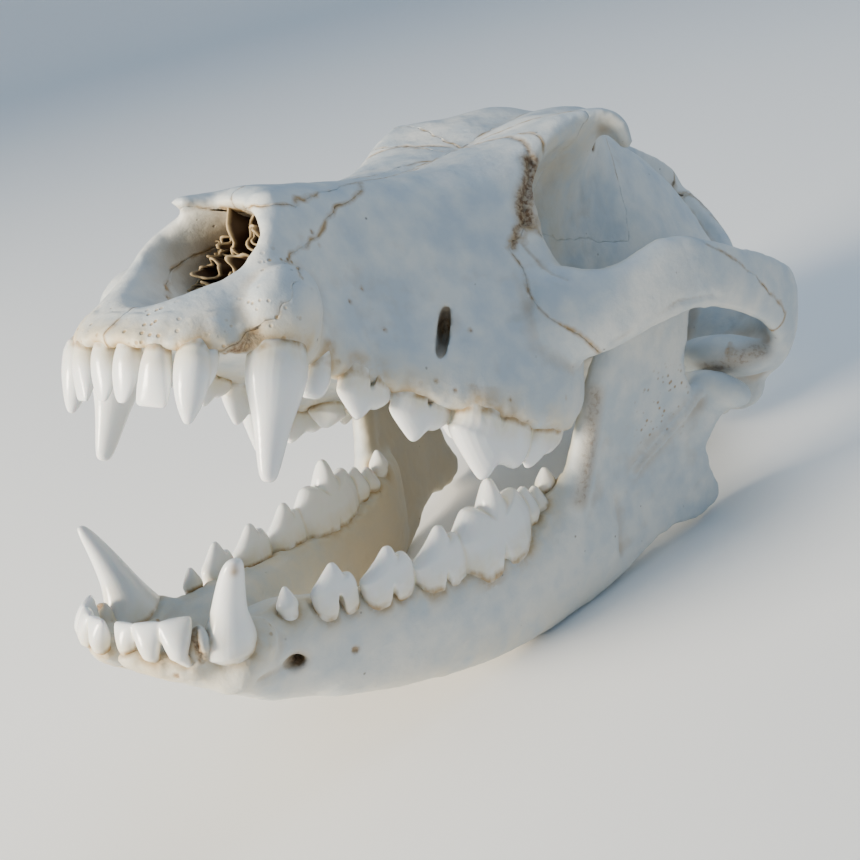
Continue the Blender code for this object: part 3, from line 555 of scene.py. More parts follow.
LOWER_TEETH = (
    ("incisor_1", (2.5, -1.8, 3.4), 82, 4, ((0, 0, 4.4, 3.8, 5.8, 0, -0.2),)),
    ("incisor_2", (7, -0.8, 3.4), 60, 4, ((0, 0, 5, 4, 6, 0, -0.6),)),
    ("incisor_3", (11, 1.8, 3), 40, 4, ((0, 0, 5.6, 4.6, 6.4, 0.4, -1),)),
    ("canine", (13.6, 11.2, 0.6), 12, 3.5, ((0, 0, 12.2, 9, 20, -2, 5.6),)),
    ("premolar_1", (12.8, 26.4, 1.2), 8, 0.5, ((0, 0, 4.6, 3.6, 4.8, 0, 0),)),
    ("premolar_2", (15.8, 35.8, 0.4), 14, 0.5, ((-0.8, 0, 8, 4.4, 6.8, 0.6, 0),
                                              (2.8, 0, 4.6, 3.6, 3.6, 0.3, 0))),
    ("premolar_3", (18.6, 47.4, -1.2), 12, 0.5, ((-0.8, 0, 10, 5, 7.4, 0.8, 0),
                                               (4, 0, 5.4, 4.2, 4.2, 0.6, 0))),
    ("premolar_4", (21.2, 60.2, -3), 10, 0.5, ((-0.8, 0, 11, 5.8, 9, 1, 0),
                                               (4.4, 0, 6.2, 5, 5.4, 0.6, 0))),
    ("molar_1", (23.2, 75.6, -4.2), 7, 0.5, ((-6.2, 0, 9.4, 7.4, 12.2, 0.6, -0.2),
                                           (1.4, 0, 10.6, 8.6, 15, 0.6, 0),
                                           (8.2, 0, 9.4, 8, 8, 0, 0.2))),
    ("molar_2", (24, 90.4, -1.8), 0, 0, ((-1.8, 0, 6.2, 6.8, 7.2, 0, 0),
                                           (2.6, 0, 5.6, 6.2, 5.8, 0, 0))),
    ("molar_3", (24, 97.6, 2), 0, 0, ((0, 0, 5, 4.8, 4.8, 0, 0),)),
)


def row_directions(turn):
    angle = math.radians(turn)
    return (np.array((math.sin(angle), math.cos(angle), 0.0)),
            np.array((math.cos(angle), -math.sin(angle), 0.0)))


def socket_edge(places, rows, side):
    """Distance in millimetres to the nearest tooth's foot, and the depth past its base."""
    best, depth = np.full(len(places), 99.0), np.zeros(len(places))
    for _, base, turn, _, cusps in rows:
        row, out = row_directions(turn)
        seen = places * (side, 1, 1) - base
        for along, across, length, width, *_ in cusps:
            a = (seen @ row - along) / (length / 2)
            c = (seen @ out - across) / (width / 2)
            away = (np.sqrt(a * a + c * c) - 1.0) * width / 2
            closer = np.hypot(np.maximum(away, 0), 0.6 * seen[:, 2]) < np.hypot(
                np.maximum(best, 0), 0.6 * depth)
            best, depth = np.where(closer, away, best), np.where(closer, seen[:, 2], depth)
    return best, depth


def raise_sockets(obj, rows, side, rise, collar=0.34):
    """A low uneven rim of bone round each tooth, and a soft swelling over each root."""
    places, normals = points_of(obj)
    away, depth = socket_edge(places, rows, side)
    rim = np.exp(-((away - 1.1) / 0.8) ** 2) * np.exp(-(depth / 3.0) ** 2)
    moved = rim * collar * (1.0 + 0.6 * grain(places, 3.1))
    for name, base, turn, _, cusps in rows:
        row, out = row_directions(turn)
        seen = places * (side, 1, 1) - base
        ends = [cusps[0][0]] if len(cusps) == 1 else [cusps[0][0] - 1.5, cusps[1][0] + 0.5]
        for end in ends:
            over = np.exp(-((seen @ row - end) / 1.9) ** 2)
            over *= np.exp(-((-rise * seen[:, 2] - 4.5) / 4.0) ** 2)
            over *= np.clip(normals * (side, 1, 1) @ out, 0, 1) * (seen @ out > -1.0)
            moved += 0.42 * over
    set_points(obj, places + normals * moved[:, None])


def weathered(obj):
    """The slight unevenness of real bone, from broad swells down to a fine tooth."""
    places, normals = points_of(obj)
    moved = (0.16 * grain(places, 15.0) + 0.06 * grain(places, 5.2) + 0.03 * grain(places, 2.1))
    set_points(obj, places + normals * moved[:, None])


cranium = joined("cranium_form", cranium_forms())
skinned(cranium, ROUGH_VOXEL, 4)
press(cranium, (0, 110, 67), (8, 26, 12), (0, 0, -2.2))
press_pair(cranium, (15, 119, 72), (9, 13, 9), (0, 0, -0.5))
press_pair(cranium, (24, 52, 16), (9, 12, 12), (-1.6, 0, 0))
press_pair(cranium, (27, 74, 13), (7, 9, 8), (1.0, 0, 0))
press(cranium, (-11, 121, 73), (9, 15, 8), (0, 0, 1.8))
press_pair(cranium, (47, 104, 31), (6, 8, 5), (0, 0, -1.0))
press_pair(cranium, (41.5, 96, 28.5), (4, 4, 4), (0, 0, -0.9))
press_pair(cranium, (37, 89, 28.5), (4, 4, 3.5), (0, 0.4, 0.9))
press(cranium, (19, 113, 68), (9, 11, 8), (0, 0, -1.2))
press(cranium, (-13.5, 25, 20), (5, 9, 11), (-0.6, -2.2, 0.8))
cut_by(cranium, throat_cutters())
refined(cranium)
cut_by(cranium, nerve_holes())
skinned(cranium, FINE_VOXEL, 2)
raise_sockets(cranium, UPPER_TEETH, 1, -1)
raise_sockets(cranium, UPPER_TEETH, -1, -1)
weathered(cranium)

# Lines on the bone: the rough cleft in front of each eye, finer seams and ridges.
TEAR_CLEFT = ((24.4, 92.6, 51), (25.2, 92.2, 48.6), (26.2, 91, 46.2), (26.6, 89.2, 43.6),
              (27, 87.8, 41.6), (27.6, 87, 39.4), (28.6, 86.9, 36.8))
CLEFT_TAIL = ((28.6, 86.9, 36.8), (27.9, 84.4, 34.6), (28.3, 83.3, 30.6))
BROW_SEAM = ((3, 99.4, 57.9), (8, 98.6, 57.9), (11, 97, 57.7), (14.2, 96.8, 57.9),
             (17.4, 94.6, 57.2), (20.3, 94, 55.8), (22.2, 93.6, 54.4), (24.4, 92.6, 51))
EYE_RIM_LINE = ((29.2, 84.8, 31.9), (31.8, 87.5, 28.6), (35.7, 87.5, 26), (38.5, 88.5, 25))
TEMPLE_LINE = ((31, 121, 61), (26, 126, 67), (18, 133, 72), (9, 142, 74.5),
               (2.5, 156, 76))
CHEEK_LINE = ((46, 97, 13.5), (48, 100, 17.5), (51, 104, 20.8), (54, 107.5, 23.8),
              (57.3, 116, 26.2), (59.5, 124, 26), (60.6, 132, 24.8))
MUZZLE_VEIN = ((26.5, 66.5, 17), (24, 60, 20), (22, 52, 20.5), (20, 45, 18))
for path, reach, depth, uneven in (
    (TEAR_CLEFT, 1.5, 1.2, 0.7), (CLEFT_TAIL, 0.8, 0.35, 0.3), (BROW_SEAM, 0.8, 0.25, 0.3),
    (EYE_RIM_LINE, 0.9, 0.3, 0.3), (TEMPLE_LINE, 2.2, -0.6, 0.2), (CHEEK_LINE, 1.1, 0.45, 0.2),
    (MUZZLE_VEIN, 3.5, 0.35, 0),
):
    carve(cranium, both_sides(path), reach, depth, uneven)
carve(cranium, [((0.0, 60.0, 40.0), (0.0, 85.0, 49.5), (0.0, 108.0, 64.0), (0.0, 126.0, 73.0))],
      3.2, 0.6)

# The sutures: wavy seams along which the bones of the cranium meet, a hair's width apart.
# Each bone is taken off the shell by flat cuts made while the shell is gently warped, so that
# the seams come out wavy once it is eased back.
BLOCK_REACH = 300.0
SUTURE_GAP = 0.09
OCCIPITAL_PLANES = (((0, 199, 70), (0, 1, -0.23)),)
JUGAL_PLANES = (
    ((31, 82.5, 28), (12, 9, 16)),
    ((30.5, 90, 30), (1, -0.3, 0)),
    ((58, 123, 34.2), (0, -0.286, -1)),
    ((60, 146.5, 28), (0, -1, 0)),
)
NASAL_PLANES = (
    ((0, 52, 31.5), (0, -0.14, 1)),
    ((11.4, 40, 33), (-1, -0.2, 0)),
    ((-11.4, 40, 33), (1, -0.2, 0)),
    ((0, 90, 52), (0, -1, 0.2)),
)
INCISIVE_PLANES = (((0, 20.7, 4), (0, -32, 34)),)
FRONTAL_PLANES = (
    ((10, 98, 57), (0.27, 1, 0.1)),
    ((-10, 98, 57), (-0.27, 1, 0.1)),
    ((0, 100, 37), (0, -0.15, 1)),
    ((0, 137, 70), (0, -1, -0.2)),
)
MAXILLA_PLANES = (((0, 107.5, 0), (0, -1, -0.2)),)
LEFT_HALF = (((0, 0, 0), (1, 0, 0)),)
WAVES = (
    ((0.9, 0.5, 1.3), 0.34, 0.4), ((-0.7, 1.5, 0.6), 0.30, 1.9), ((1.6, -0.4, 0.9), 0.22, 2.7),
    ((0.2, 0.45, -0.35), 0.55, 0.3), ((2.6, 2.1, -2.4), 0.10, 5.1),
)


# Bows in two of the seams: centre, spread and the move at the centre, doubled.
BOWS = (((18, 31, 18), (16, 13, 10), (0, 9.6, 0)),
        ((12.5, 46, 31), (6, 7, 6), (0, 6, 0)),
        ((36.5, 84, 19), (8, 8, 8), (4.2, 3.2, 5.6)))


def wave(places):
    """A small smooth shift for every point, in millimetres."""
    shift = np.zeros_like(places)
    for (a, b, c), size, start in WAVES:
        phase = places @ np.array((a, b, c)) + start
        shift += size * np.stack([np.sin(phase), np.cos(phase * 1.07), np.sin(phase + 2.0)], axis=1)
    for centre, spread, move in BOWS:
        for side in (1, -1):
            away = (places - np.array(centre) * (side, 1, 1)) / np.array(spread)
            share = np.exp(-(away ** 2).sum(axis=1))
            shift += share[:, None] * np.array(move) * (side, 1, 1)
    return shift


def warp(obj):
    places, _ = points_of(obj)
    set_points(obj, places + 0.5 * wave(places))


def unwarp(obj):
    warped, _ = points_of(obj)
    places = warped.copy()
    for _ in range(14):
        places = 0.4 * places + 0.6 * (warped - 0.5 * wave(places))
    set_points(obj, places)


def on_right(planes):
    return tuple(((-p[0], *p[1:]), (-k[0], *k[1:])) for p, k in planes)


def block(planes, inset):
    """A solid with flat sides, each set in from its plane by this many millimetres."""
    bm = bmesh.new()
    bmesh.ops.create_cube(bm, size=2 * BLOCK_REACH * MM)
    for point, keep in planes:
        towards = Vector(keep).normalized()
        place = (Vector(point) + towards * inset) * MM
        everything = bm.verts[:] + bm.edges[:] + bm.faces[:]
        cut = bmesh.ops.bisect_plane(bm, geom=everything, plane_co=place, plane_no=towards,
                                     clear_inner=True)
        rim = [g for g in cut["geom_cut"] if isinstance(g, bmesh.types.BMEdge)]
        bmesh.ops.contextual_create(bm, geom=rim)
    bmesh.ops.recalc_face_normals(bm, faces=bm.faces)
    return made_of("block", bm)


def edge_ends(obj):
    """The numbers of the two vertices of each edge."""
    ends = np.empty(len(obj.data.edges) * 2, np.int64)
    obj.data.edges.foreach_get("vertices", ends)
    return ends.reshape(-1, 2)


def largest_body(obj):
    """Keeps only the largest connected part of a mesh."""
    count = len(obj.data.vertices)
    ends = edge_ends(obj)
    label = np.arange(count)
    while True:
        least = np.minimum(label[ends[:, 0]], label[ends[:, 1]])
        new = label.copy()
        np.minimum.at(new, ends[:, 0], least)
        np.minimum.at(new, ends[:, 1], least)
        new = new[new]
        if (new == label).all():
            break
        label = new
    names, sizes = np.unique(label, return_counts=True)
    if len(names) > 1:
        keep = label == names[sizes.argmax()]
        bm = bmesh.new()
        bm.from_mesh(obj.data)
        bm.verts.ensure_lookup_table()
        bmesh.ops.delete(bm, geom=[bm.verts[i] for i in np.flatnonzero(~keep)], context="VERTS")
        bm.to_mesh(obj.data)
        bm.free()
    return obj


def split_off(whole, name, planes):
    """Takes one bone off the whole, leaving a thin gap between them."""
    bone = add_object(name, whole.data.copy())
    for obj, operation, inset in ((bone, "INTERSECT", SUTURE_GAP / 2),
                                  (whole, "DIFFERENCE", -SUTURE_GAP / 2)):
        cut_by(obj, [block(planes, inset)], operation)
    return largest_body(bone)


def split_pair(whole, name, planes):
    """Takes off a bone that meets its twin on the midline, and parts the two."""
    both = split_off(whole, name + "_right", planes)
    left = split_off(both, name + "_left", LEFT_HALF)
    return left, largest_body(both)


def seam_distance(places, outlines):
    """Distance in millimetres from each point to the nearest of the seams."""
    warped = places + 0.5 * wave(places)
    best = np.full(len(places), 9.0)
    for planes in outlines:
        inside = np.full(len(places), 99.0)
        for point, keep in planes:
            towards = np.array(keep) / np.linalg.norm(keep)
            inside = np.minimum(inside, (warped - np.array(point)) @ towards)
        best = np.minimum(best, abs(inside))
    return best


warp(cranium)
bones, seams, taken = {}, {}, []
for bone, planes in (("occipital_bone", OCCIPITAL_PLANES), ("cheekbone_left", JUGAL_PLANES),
                     ("cheekbone_right", on_right(JUGAL_PLANES))):
    bones[bone] = split_off(cranium, bone, planes)
    taken.append(planes)
    seams[bone] = list(taken)
for bone, planes in (("nasal_bone", NASAL_PLANES), ("incisive_bone", INCISIVE_PLANES),
                     ("frontal_bone", FRONTAL_PLANES), ("maxilla", MAXILLA_PLANES)):
    bones[bone + "_left"], bones[bone + "_right"] = split_pair(cranium, bone, planes)
    taken.append(planes)
    seams[bone + "_left"] = seams[bone + "_right"] = [*taken, LEFT_HALF]
bones["braincase"] = largest_body(cranium)
seams["braincase"] = list(taken)
for bone in bones.values():
    unwarp(bone)

# The teeth: enamel crowns set in their sockets, three incisors, a canine and cheek teeth a side.
# Front teeth are grown from tapering forms, and the cutting cheek teeth are flattened blades
# whose outline is drawn from the side, with two roots and a gap of bone between them.
ROOT_DEPTH = 5.0
TOOTH_VOXEL = 0.27
TOOTH_SIDES = 28
# Outlines from the root's end to the tip: height as a share of the crown, and width along and
# across as shares of the base.
POINTED = ((-1, 0.60, 0.60), (-0.4, 0.78, 0.78), (0, 0.90, 0.90), (0.2, 1, 1),
           (0.4, 0.86, 0.88), (0.6, 0.63, 0.67), (0.8, 0.40, 0.44), (0.92, 0.24, 0.28),
           (0.985, 0.10, 0.12))
CONICAL = ((-1, 0.46, 0.46), (-0.4, 0.66, 0.66), (0, 0.84, 0.84), (0.14, 0.95, 0.95),
           (0.28, 0.92, 0.93), (0.42, 0.77, 0.80), (0.56, 0.60, 0.64), (0.70, 0.48, 0.52),
           (0.86, 0.36, 0.39), (0.95, 0.27, 0.29), (0.985, 0.19, 0.20), (0.998, 0.10, 0.10))
FANG = ((-1, 0.30, 0.40), (-0.4, 0.52, 0.62), (0, 0.80, 0.86), (0.12, 0.95, 1),
        (0.28, 1, 1), (0.45, 0.96, 0.92), (0.62, 0.83, 0.76), (0.78, 0.62, 0.58),
        (0.90, 0.40, 0.40), (0.97, 0.24, 0.24), (0.998, 0.10, 0.10))
COLUMN = ((-1, 0.55, 0.55), (-0.4, 0.78, 0.78), (0, 0.96, 0.96), (0.12, 0.97, 0.98),
          (0.25, 0.84, 0.88), (0.37, 0.69, 0.75), (0.5, 0.60, 0.65), (0.65, 0.53, 0.57),
          (0.80, 0.46, 0.48), (0.91, 0.38, 0.39), (0.97, 0.28, 0.28), (0.997, 0.13, 0.13))
SABRE = ((-1, 0.55, 0.55), (-0.4, 0.84, 0.80), (0, 1, 0.96), (0.12, 0.84, 0.92),
         (0.26, 0.64, 0.80), (0.42, 0.48, 0.66), (0.58, 0.38, 0.54), (0.74, 0.29, 0.42),
         (0.88, 0.21, 0.30), (0.96, 0.14, 0.20), (0.995, 0.07, 0.10))
SHIELD = ((-1, 0.30, 0.45), (-0.4, 0.42, 0.62), (0, 0.58, 0.80), (0.3, 0.80, 1),
          (0.6, 0.97, 0.86), (0.82, 1.03, 0.62), (0.94, 1, 0.42), (1, 0.84, 0.20))
PEG = ((-1, 0.6, 0.6), (0, 0.90, 0.90), (0.3, 1, 1), (0.6, 0.96, 0.96),
       (0.82, 0.80, 0.84), (0.95, 0.50, 0.54))
CHISEL = ((-1, 0.40, 0.55), (-0.4, 0.56, 0.74), (0, 0.74, 0.88), (0.3, 0.96, 1),
          (0.6, 1.04, 0.78), (0.82, 1.04, 0.52), (0.95, 0.98, 0.34), (1, 0.82, 0.18))
LEAF = ((-1, 0.40, 0.55), (-0.4, 0.58, 0.74), (0, 0.78, 0.88), (0.25, 0.98, 1),
        (0.5, 1, 0.86), (0.7, 0.88, 0.64), (0.85, 0.68, 0.44), (0.95, 0.46, 0.28),
        (1, 0.24, 0.12))
# Side outlines of the blades, from front to rear and from gum to tip, each as a share.
TWO_ROOTS = ((0.95, -0.7), (0.66, -0.7), (0.60, -0.12), (0.52, 0.03), (0.44, -0.12),
             (0.38, -0.7), (0.06, -0.7))
LOW_FORK = ((0.93, -0.7), (0.62, -0.7), (0.56, -0.36), (0.5, -0.24), (0.44, -0.36),
            (0.38, -0.7), (0.07, -0.7))
UPPER_SMALL = ((0, 0.10), (-0.01, 0.32), (0.13, 0.62), (0.33, 0.95), (0.41, 1), (0.48, 0.94),
               (0.62, 0.70), (0.73, 0.69), (0.90, 0.54), (1, 0.34), (0.99, 0.08), *TWO_ROOTS)
UPPER_SHEAR = ((0.05, 0.02), (0, 0.2), (0.13, 0.5), (0.38, 0.95), (0.46, 1), (0.52, 0.94),
               (0.59, 0.76), (0.70, 0.72), (0.84, 0.77), (0.95, 0.62), (1, 0.2), *LOW_FORK)
UPPER_TABLE = ((0, 0.1), (0, 0.55), (0.12, 0.96), (0.22, 1), (0.36, 0.80), (0.52, 0.66),
               (0.68, 0.66), (0.86, 0.50), (1, 0.32), (1, 0.05), *LOW_FORK)
LOWER_SMALL = ((0, 0.05), (0, 0.35), (0.2, 0.62), (0.45, 0.97), (0.53, 1), (0.61, 0.93),
               (0.74, 0.58), (0.80, 0.54), (0.88, 0.56), (0.97, 0.35), (1, 0.05), *TWO_ROOTS)
LOWER_MIDDLE = ((0, 0.08), (0, 0.30), (0.18, 0.50), (0.36, 0.74), (0.50, 0.97), (0.57, 1),
                (0.65, 0.93), (0.73, 0.64), (0.80, 0.70), (0.88, 0.66), (0.98, 0.42),
                (1, 0.12), *LOW_FORK)
LOWER_SHEAR = ((0.02, 0.1), (0, 0.32), (0.08, 0.52), (0.17, 0.69), (0.23, 0.72), (0.31, 0.70),
               (0.385, 0.58), (0.43, 0.75), (0.50, 0.97), (0.54, 1), (0.59, 0.95),
               (0.66, 0.68), (0.71, 0.63), (0.77, 0.69), (0.84, 0.71), (0.92, 0.56),
               (1, 0.30), (0.98, 0.03), *LOW_FORK)
# The blades of each jaw: how many of the tooth's cusps they take in, and their outline.
UPPER_BLADES = {"premolar_2": (2, UPPER_SMALL), "premolar_3": (2, UPPER_SMALL),
                "premolar_4": (2, UPPER_SHEAR), "molar_1": (2, UPPER_TABLE)}
LOWER_BLADES = {"premolar_2": (2, LOWER_SMALL), "premolar_3": (2, LOWER_MIDDLE),
                "premolar_4": (2, LOWER_MIDDLE), "molar_1": (3, LOWER_SHEAR)}
BLADE_RINGS = 11
BLADE_HEART = (0.5, 0.35)


def tooth_outline(name, rise, side):
    if name == "canine":
        return CONICAL if rise < 0 else COLUMN if side > 0 else SABRE
    if name.startswith("incisor") and rise > 0:
        return SHIELD
    if name == "premolar_1" and rise < 0:
        return PEG
    if name == "incisor_3" and rise < 0:
        return FANG
    if name == "incisor_1" and rise < 0:
        return LEAF
    return CHISEL if name.startswith("incisor") else POINTED


def cusp(name, base, turn, root_lean, spec, rise, side, outline):
    """One pointed form rooted in the bone, leaning to its tip. Side is -1 for the right."""
    along, across, length, width, height, lean_along, lean_across = spec
    row, out = (Vector(way) for way in row_directions(turn))
    foot = Vector(base) + row * along + out * across
    rings = []
    for share, girth, breadth in spline(outline, 3):
        up = share * height if share > 0 else share * ROOT_DEPTH
        bend = max(share, 0.0) ** 1.5
        middle = foot + Vector((0, root_lean * max(-share, 0.0), rise * up))
        middle += row * lean_along * bend + out * lean_across * bend
        ring = [
            middle
            + row * (length / 2 * girth * math.cos(2 * math.pi * k / TOOTH_SIDES))
            + out * (width / 2 * breadth * math.sin(2 * math.pi * k / TOOTH_SIDES))
            for k in range(TOOTH_SIDES)
        ]
        rings.append([(side * p.x, p.y, p.z) for p in ring])
    return loft(name, rings)


def blade(name, base, turn, cusps, rise, side, outline):
    """A flattened cutting crown drawn from the side, thickest in the middle of its face."""
    row, out = (Vector(way) for way in row_directions(turn))
    front = cusps[0][0] - cusps[0][2] / 2
    rear = cusps[-1][0] + cusps[-1][2] / 2
    height = max(spec[4] for spec in cusps)
    thick = max(spec[3] for spec in cusps)
    across = sum(spec[1] for spec in cusps) / len(cusps)
    lean = cusps[0][6]
    rings = []
    for k in range(BLADE_RINGS):
        angle = math.radians(-80 + 160 * k / (BLADE_RINGS - 1))
        shrink, bulge = math.cos(angle) ** 0.6, math.sin(angle)
        ring = []
        for u, v in spline(outline, 3, closed=True):
            u = BLADE_HEART[0] + (u - BLADE_HEART[0]) * shrink
            v = BLADE_HEART[1] + (v - BLADE_HEART[1]) * shrink
            share = min(max(v, 0.0), 1.0)
            place = Vector(base) + row * (front + (rear - front) * u)
            place += out * (across + lean * share + thick / 2 * bulge * (1 - 0.5 * share))
            ring.append((side * place.x, place.y, place.z + rise * v * height))
        rings.append(ring)
    return loft(name, rings)


def teeth(name, rows, rise, side):
    """A set of teeth in one piece of mesh. Rise is 1 for teeth that point up and -1 for down."""
    made = []
    blades = UPPER_BLADES if rise < 0 else LOWER_BLADES
    for tooth, base, turn, root_lean, cusps in rows:
        taken_in, outline = blades.get(tooth, (0, ()))
        if taken_in:
            made.append(blade(tooth, base, turn, cusps[:taken_in], rise, side, outline))
        for i, spec in enumerate(cusps[taken_in:]):
            made.append(cusp(f"{tooth}_{i}", base, turn, root_lean, spec, rise, side,
                             tooth_outline(tooth, rise, side)))
    return skinned(joined(name, made), TOOTH_VOXEL, 2)


UPPER_FRONT = [row for row in UPPER_TEETH if row[0].startswith("incisor")]
UPPER_REAR = [row for row in UPPER_TEETH if not row[0].startswith("incisor")]
# The left lower canine stands upright and its tip is worn. The right one is a long curved hook,
# and on that side the lower front teeth stand a little further forward.
LEFT_CANINE = ((-0.4, 0, 10.6, 8.2, 17.8, 0.9, 5.4),)
RIGHT_CANINE = ((1.6, 0, 15.6, 9, 20, -3.6, 5.6),)
LOWER_LEFT = [(*row[:4], LEFT_CANINE) if row[0] == "canine" else row for row in LOWER_TEETH]
LOWER_RIGHT = [(name, (x, y - 1.8, z + 0.8) if name.startswith("incisor") else (x, y, z), *ways,
                RIGHT_CANINE if name == "canine" else cusps)
               for name, (x, y, z), *ways, cusps in LOWER_TEETH]
tooth_sets = {}
for side, word in ((1, "left"), (-1, "right")):
    for kind, rows, rise, node in (
        ("incisors_upper_", UPPER_FRONT, -1, "incisive_bone_"),
        ("teeth_upper_", UPPER_REAR, -1, "maxilla_"),
        ("teeth_lower_", LOWER_LEFT if side > 0 else LOWER_RIGHT, 1, "mandible_"),
    ):
        tooth_sets[kind + word] = (teeth(kind + word, rows, rise, side), node + word, rows, side,
                                   rise)

# The lower jaw: two long bones that meet at the chin, each with an upright plate behind.
# Its body carries the lower teeth, and its rounded knuckle turns in the hollow under the arch.
JAW_STATIONS = (
    (-3.8, 0.2, 4.4, 2.2, 4.2),
    (-0.5, 0.2, 8.6, -0.8, 4.2),
    (4, 0.2, 12.4, -4.2, 3.2),
    (10, 0.2, 15.4, -8.2, 1.6),
    (16, 0.2, 15.8, -12.2, 1.2),
    (22, 0.2, 15.2, -15.9, 1.8),
    (29, 0.4, 16.5, -18.4, 1.8),
    (34, 2, 17.8, -20.6, 0.6),
    (40, 6, 19.3, -22.4, -0.8),
    (52, 11, 22.8, -25.2, -2.6),
    (66, 14.5, 26, -27.6, -4),
    (80, 16.5, 28.8, -28.9, -4.2),
    (92, 18.5, 31, -28.5, -0.6),
    (100, 21, 33, -27, 3.6),
    (108, 25.5, 35.5, -23.5, 3.5),
)
RAMUS_OUTLINE = (
    (93, -6), (98.5, 2), (101.8, 10), (103.8, 21), (107, 32), (112, 41.5),
    (118, 46), (124.5, 46.5), (130, 42.5), (132, 35), (131.4, 26), (132.4, 19),
    (136, 14.5), (140, 13), (141, 7), (140.6, 1.5), (142.4, -5), (145.2, -9.4),
    (147.4, -12.4), (146.6, -15.8), (142, -17.6), (135, -17.6), (127, -17.6),
    (119, -20), (108, -25), (96, -26),
)
RAMUS_HALF_WIDTH = 2.5
FRONT_RIM = ((98.5, -3, 4.2), (102.6, 9, 3.8), (105.4, 21, 3.2), (109.2, 32, 2.6),
             (114.6, 41, 2))
LOWER_RIM = ((100, -22.5, 4.4), (112, -19.6, 4.2), (126, -13.9, 3.4),
             (138, -14.3, 3.1), (146, -14.4, 2.6))
JOINT_RIM = ((139, 9, 3.8), (135, 2, 3.2), (126.5, -4.5, 2.6), (118, -10, 2))
JOINT_NECK = ((40, 137.6, 2, 3.4, 4), (42, 139.4, 8, 4.2, 4),
              (43.5, 140.6, 13, 6, 4))
CONDYLE = (44.5, 140.8, 13.6)
CONDYLE_RADII = (9.5, 4.2, 4.6)
CONDYLE_TURN = (0, 12, 8)


def ramus_x(y, z):
    """How far out the upright plate stands at a place on its outline."""
    along = 29.5 + 0.27 * (y - 100.0) - 0.0035 * np.maximum(0.0, y - 125.0) ** 2
    return along + 0.10 * (z + 5.0) + 0.0012 * np.maximum(0.0, z - 10.0) ** 2


def jaw_body_form():
    rings = []
    for y, inner, outer, low, high in spline(JAW_STATIONS, 3):
        ring = []
        for k in range(24):
            angle = 2 * math.pi * k / 24
            c, s = math.cos(angle), math.sin(angle)
            reach = (abs(c) ** 2.6 + abs(s) ** 2.6) ** (-1 / 2.6)
            ring.append(((inner + outer) / 2 + (outer - inner) / 2 * c * reach, y,
                         (low + high) / 2 + (high - low) / 2 * s * reach))
        rings.append(ring)
    return loft("jaw_body_form", rings)


def ramus_form():
    plate = skinned(outline_plate("ramus_form", RAMUS_OUTLINE, RAMUS_HALF_WIDTH), ROUGH_VOXEL, 0)
    places, _ = points_of(plate)
    places[:, 0] += ramus_x(places[:, 1], places[:, 2])
    set_points(plate, places)
    return plate


def rim_tube(name, path):
    return tube(name, [(ramus_x(y, z), y, z, r, r * 0.8) for y, z, r in path], sides=12)


jaw = joined("jaw_form", [
    jaw_body_form(),
    ramus_form(),
    rim_tube("front_rim", FRONT_RIM),
    rim_tube("lower_rim", LOWER_RIM),
    rim_tube("joint_rim", JOINT_RIM),
    tube("joint_neck", JOINT_NECK, sides=12),
    ball("condyle", CONDYLE, CONDYLE_RADII, turn=CONDYLE_TURN),
    ball("canine_root", (12.4, 14.2, -2.4), (5.6, 8.2, 4.8), turn=(28, 0, 0)),
    ball("socket_wall", (12.6, 5.4, 4.2), (2.5, 2.0, 3.8)),
])
skinned(jaw, ROUGH_VOXEL, 3)
press(jaw, (37, 119, 3), (20, 15, 13), (-2.2, 0, 0), facing=(1, 0, 0))
refined(jaw)
# Each hole in the jaw: its mouth, a point inside, and its half height and half width.
CHIN_HOLES = (((15.4, 23.8, -7.6), (12.4, 28, -8.4), 1.5, 1.9),
              ((18.4, 36.4, -10.4), (15, 42, -11), 0.7, 0.7),
              ((10.2, 1, -0.6), (7, 4, -1.5), 0.6, 0.6))
CHIN_GROOVE = ((15.9, 14, -6.4), (15.8, 19, -7.4), (15.6, 23, -7.6))
SOCKET_CLEFT = ((12.6, 4.4, 7.2), (13.2, 4.1, 5.4), (13.7, 4, 3.4), (14, 4.2, 1.4))
CHEWING_RIDGE = ((43.2, 135.7, 14.2), (40.8, 130.2, 9.5), (37.8, 123.9, 5), (35.6, 117, 0.6))
cut_by(jaw, [hole(f"chin_hole_{i}", *row) for i, row in enumerate(CHIN_HOLES)])
skinned(jaw, FINE_VOXEL, 2)
raise_sockets(jaw, LOWER_TEETH, 1, 1, collar=0.5)
weathered(jaw)
carve(jaw, [CHIN_GROOVE], 1.6, 0.55)
carve(jaw, [SOCKET_CLEFT], 0.75, 1.1, 0.3)
carve(jaw, [CHEWING_RIDGE], 1.8, -0.7, 0.5)
floor_side = ((0, *JAW_REST), (0, -math.sin(JAW_TILT), math.cos(JAW_TILT)))
cut_by(jaw, [block((floor_side,), 0), block(LEFT_HALF, SUTURE_GAP / 2)], "INTERSECT")
bones["mandible_left"] = largest_body(jaw)
bones["mandible_right"] = mirrored([jaw])[1]
press(bones["mandible_right"], (-9, 0, 3), (7, 7, 6), (0, -1.6, 0.8))
seams["mandible_left"] = seams["mandible_right"] = []

# The scrolls in the nose: paper-thin curled plates of brown bone on both sides of a thin wall.
# Each is a sheet rolled up about a line that runs back into the nose, with a ragged front edge.
SCROLLS = (
    (4.2, 23.6, 3, 1.5, 36, 100), (4.8, 17.6, 2.8, 1.3, 33, -60),
    (3.8, 13, 2, 1.2, 31, -20), (7, 21, 1.7, 1.1, 37, 40),
    (2.2, 16.2, 1.5, 1.2, 37.5, 150), (6.4, 14.4, 1.5, 1, 34, -90),
    (2, 20.4, 1.5, 1.1, 38.5, 60),
)
SCROLL_REAR = 50.0
SCROLL_THICKNESS = 0.34
SCROLL_STEPS = 46


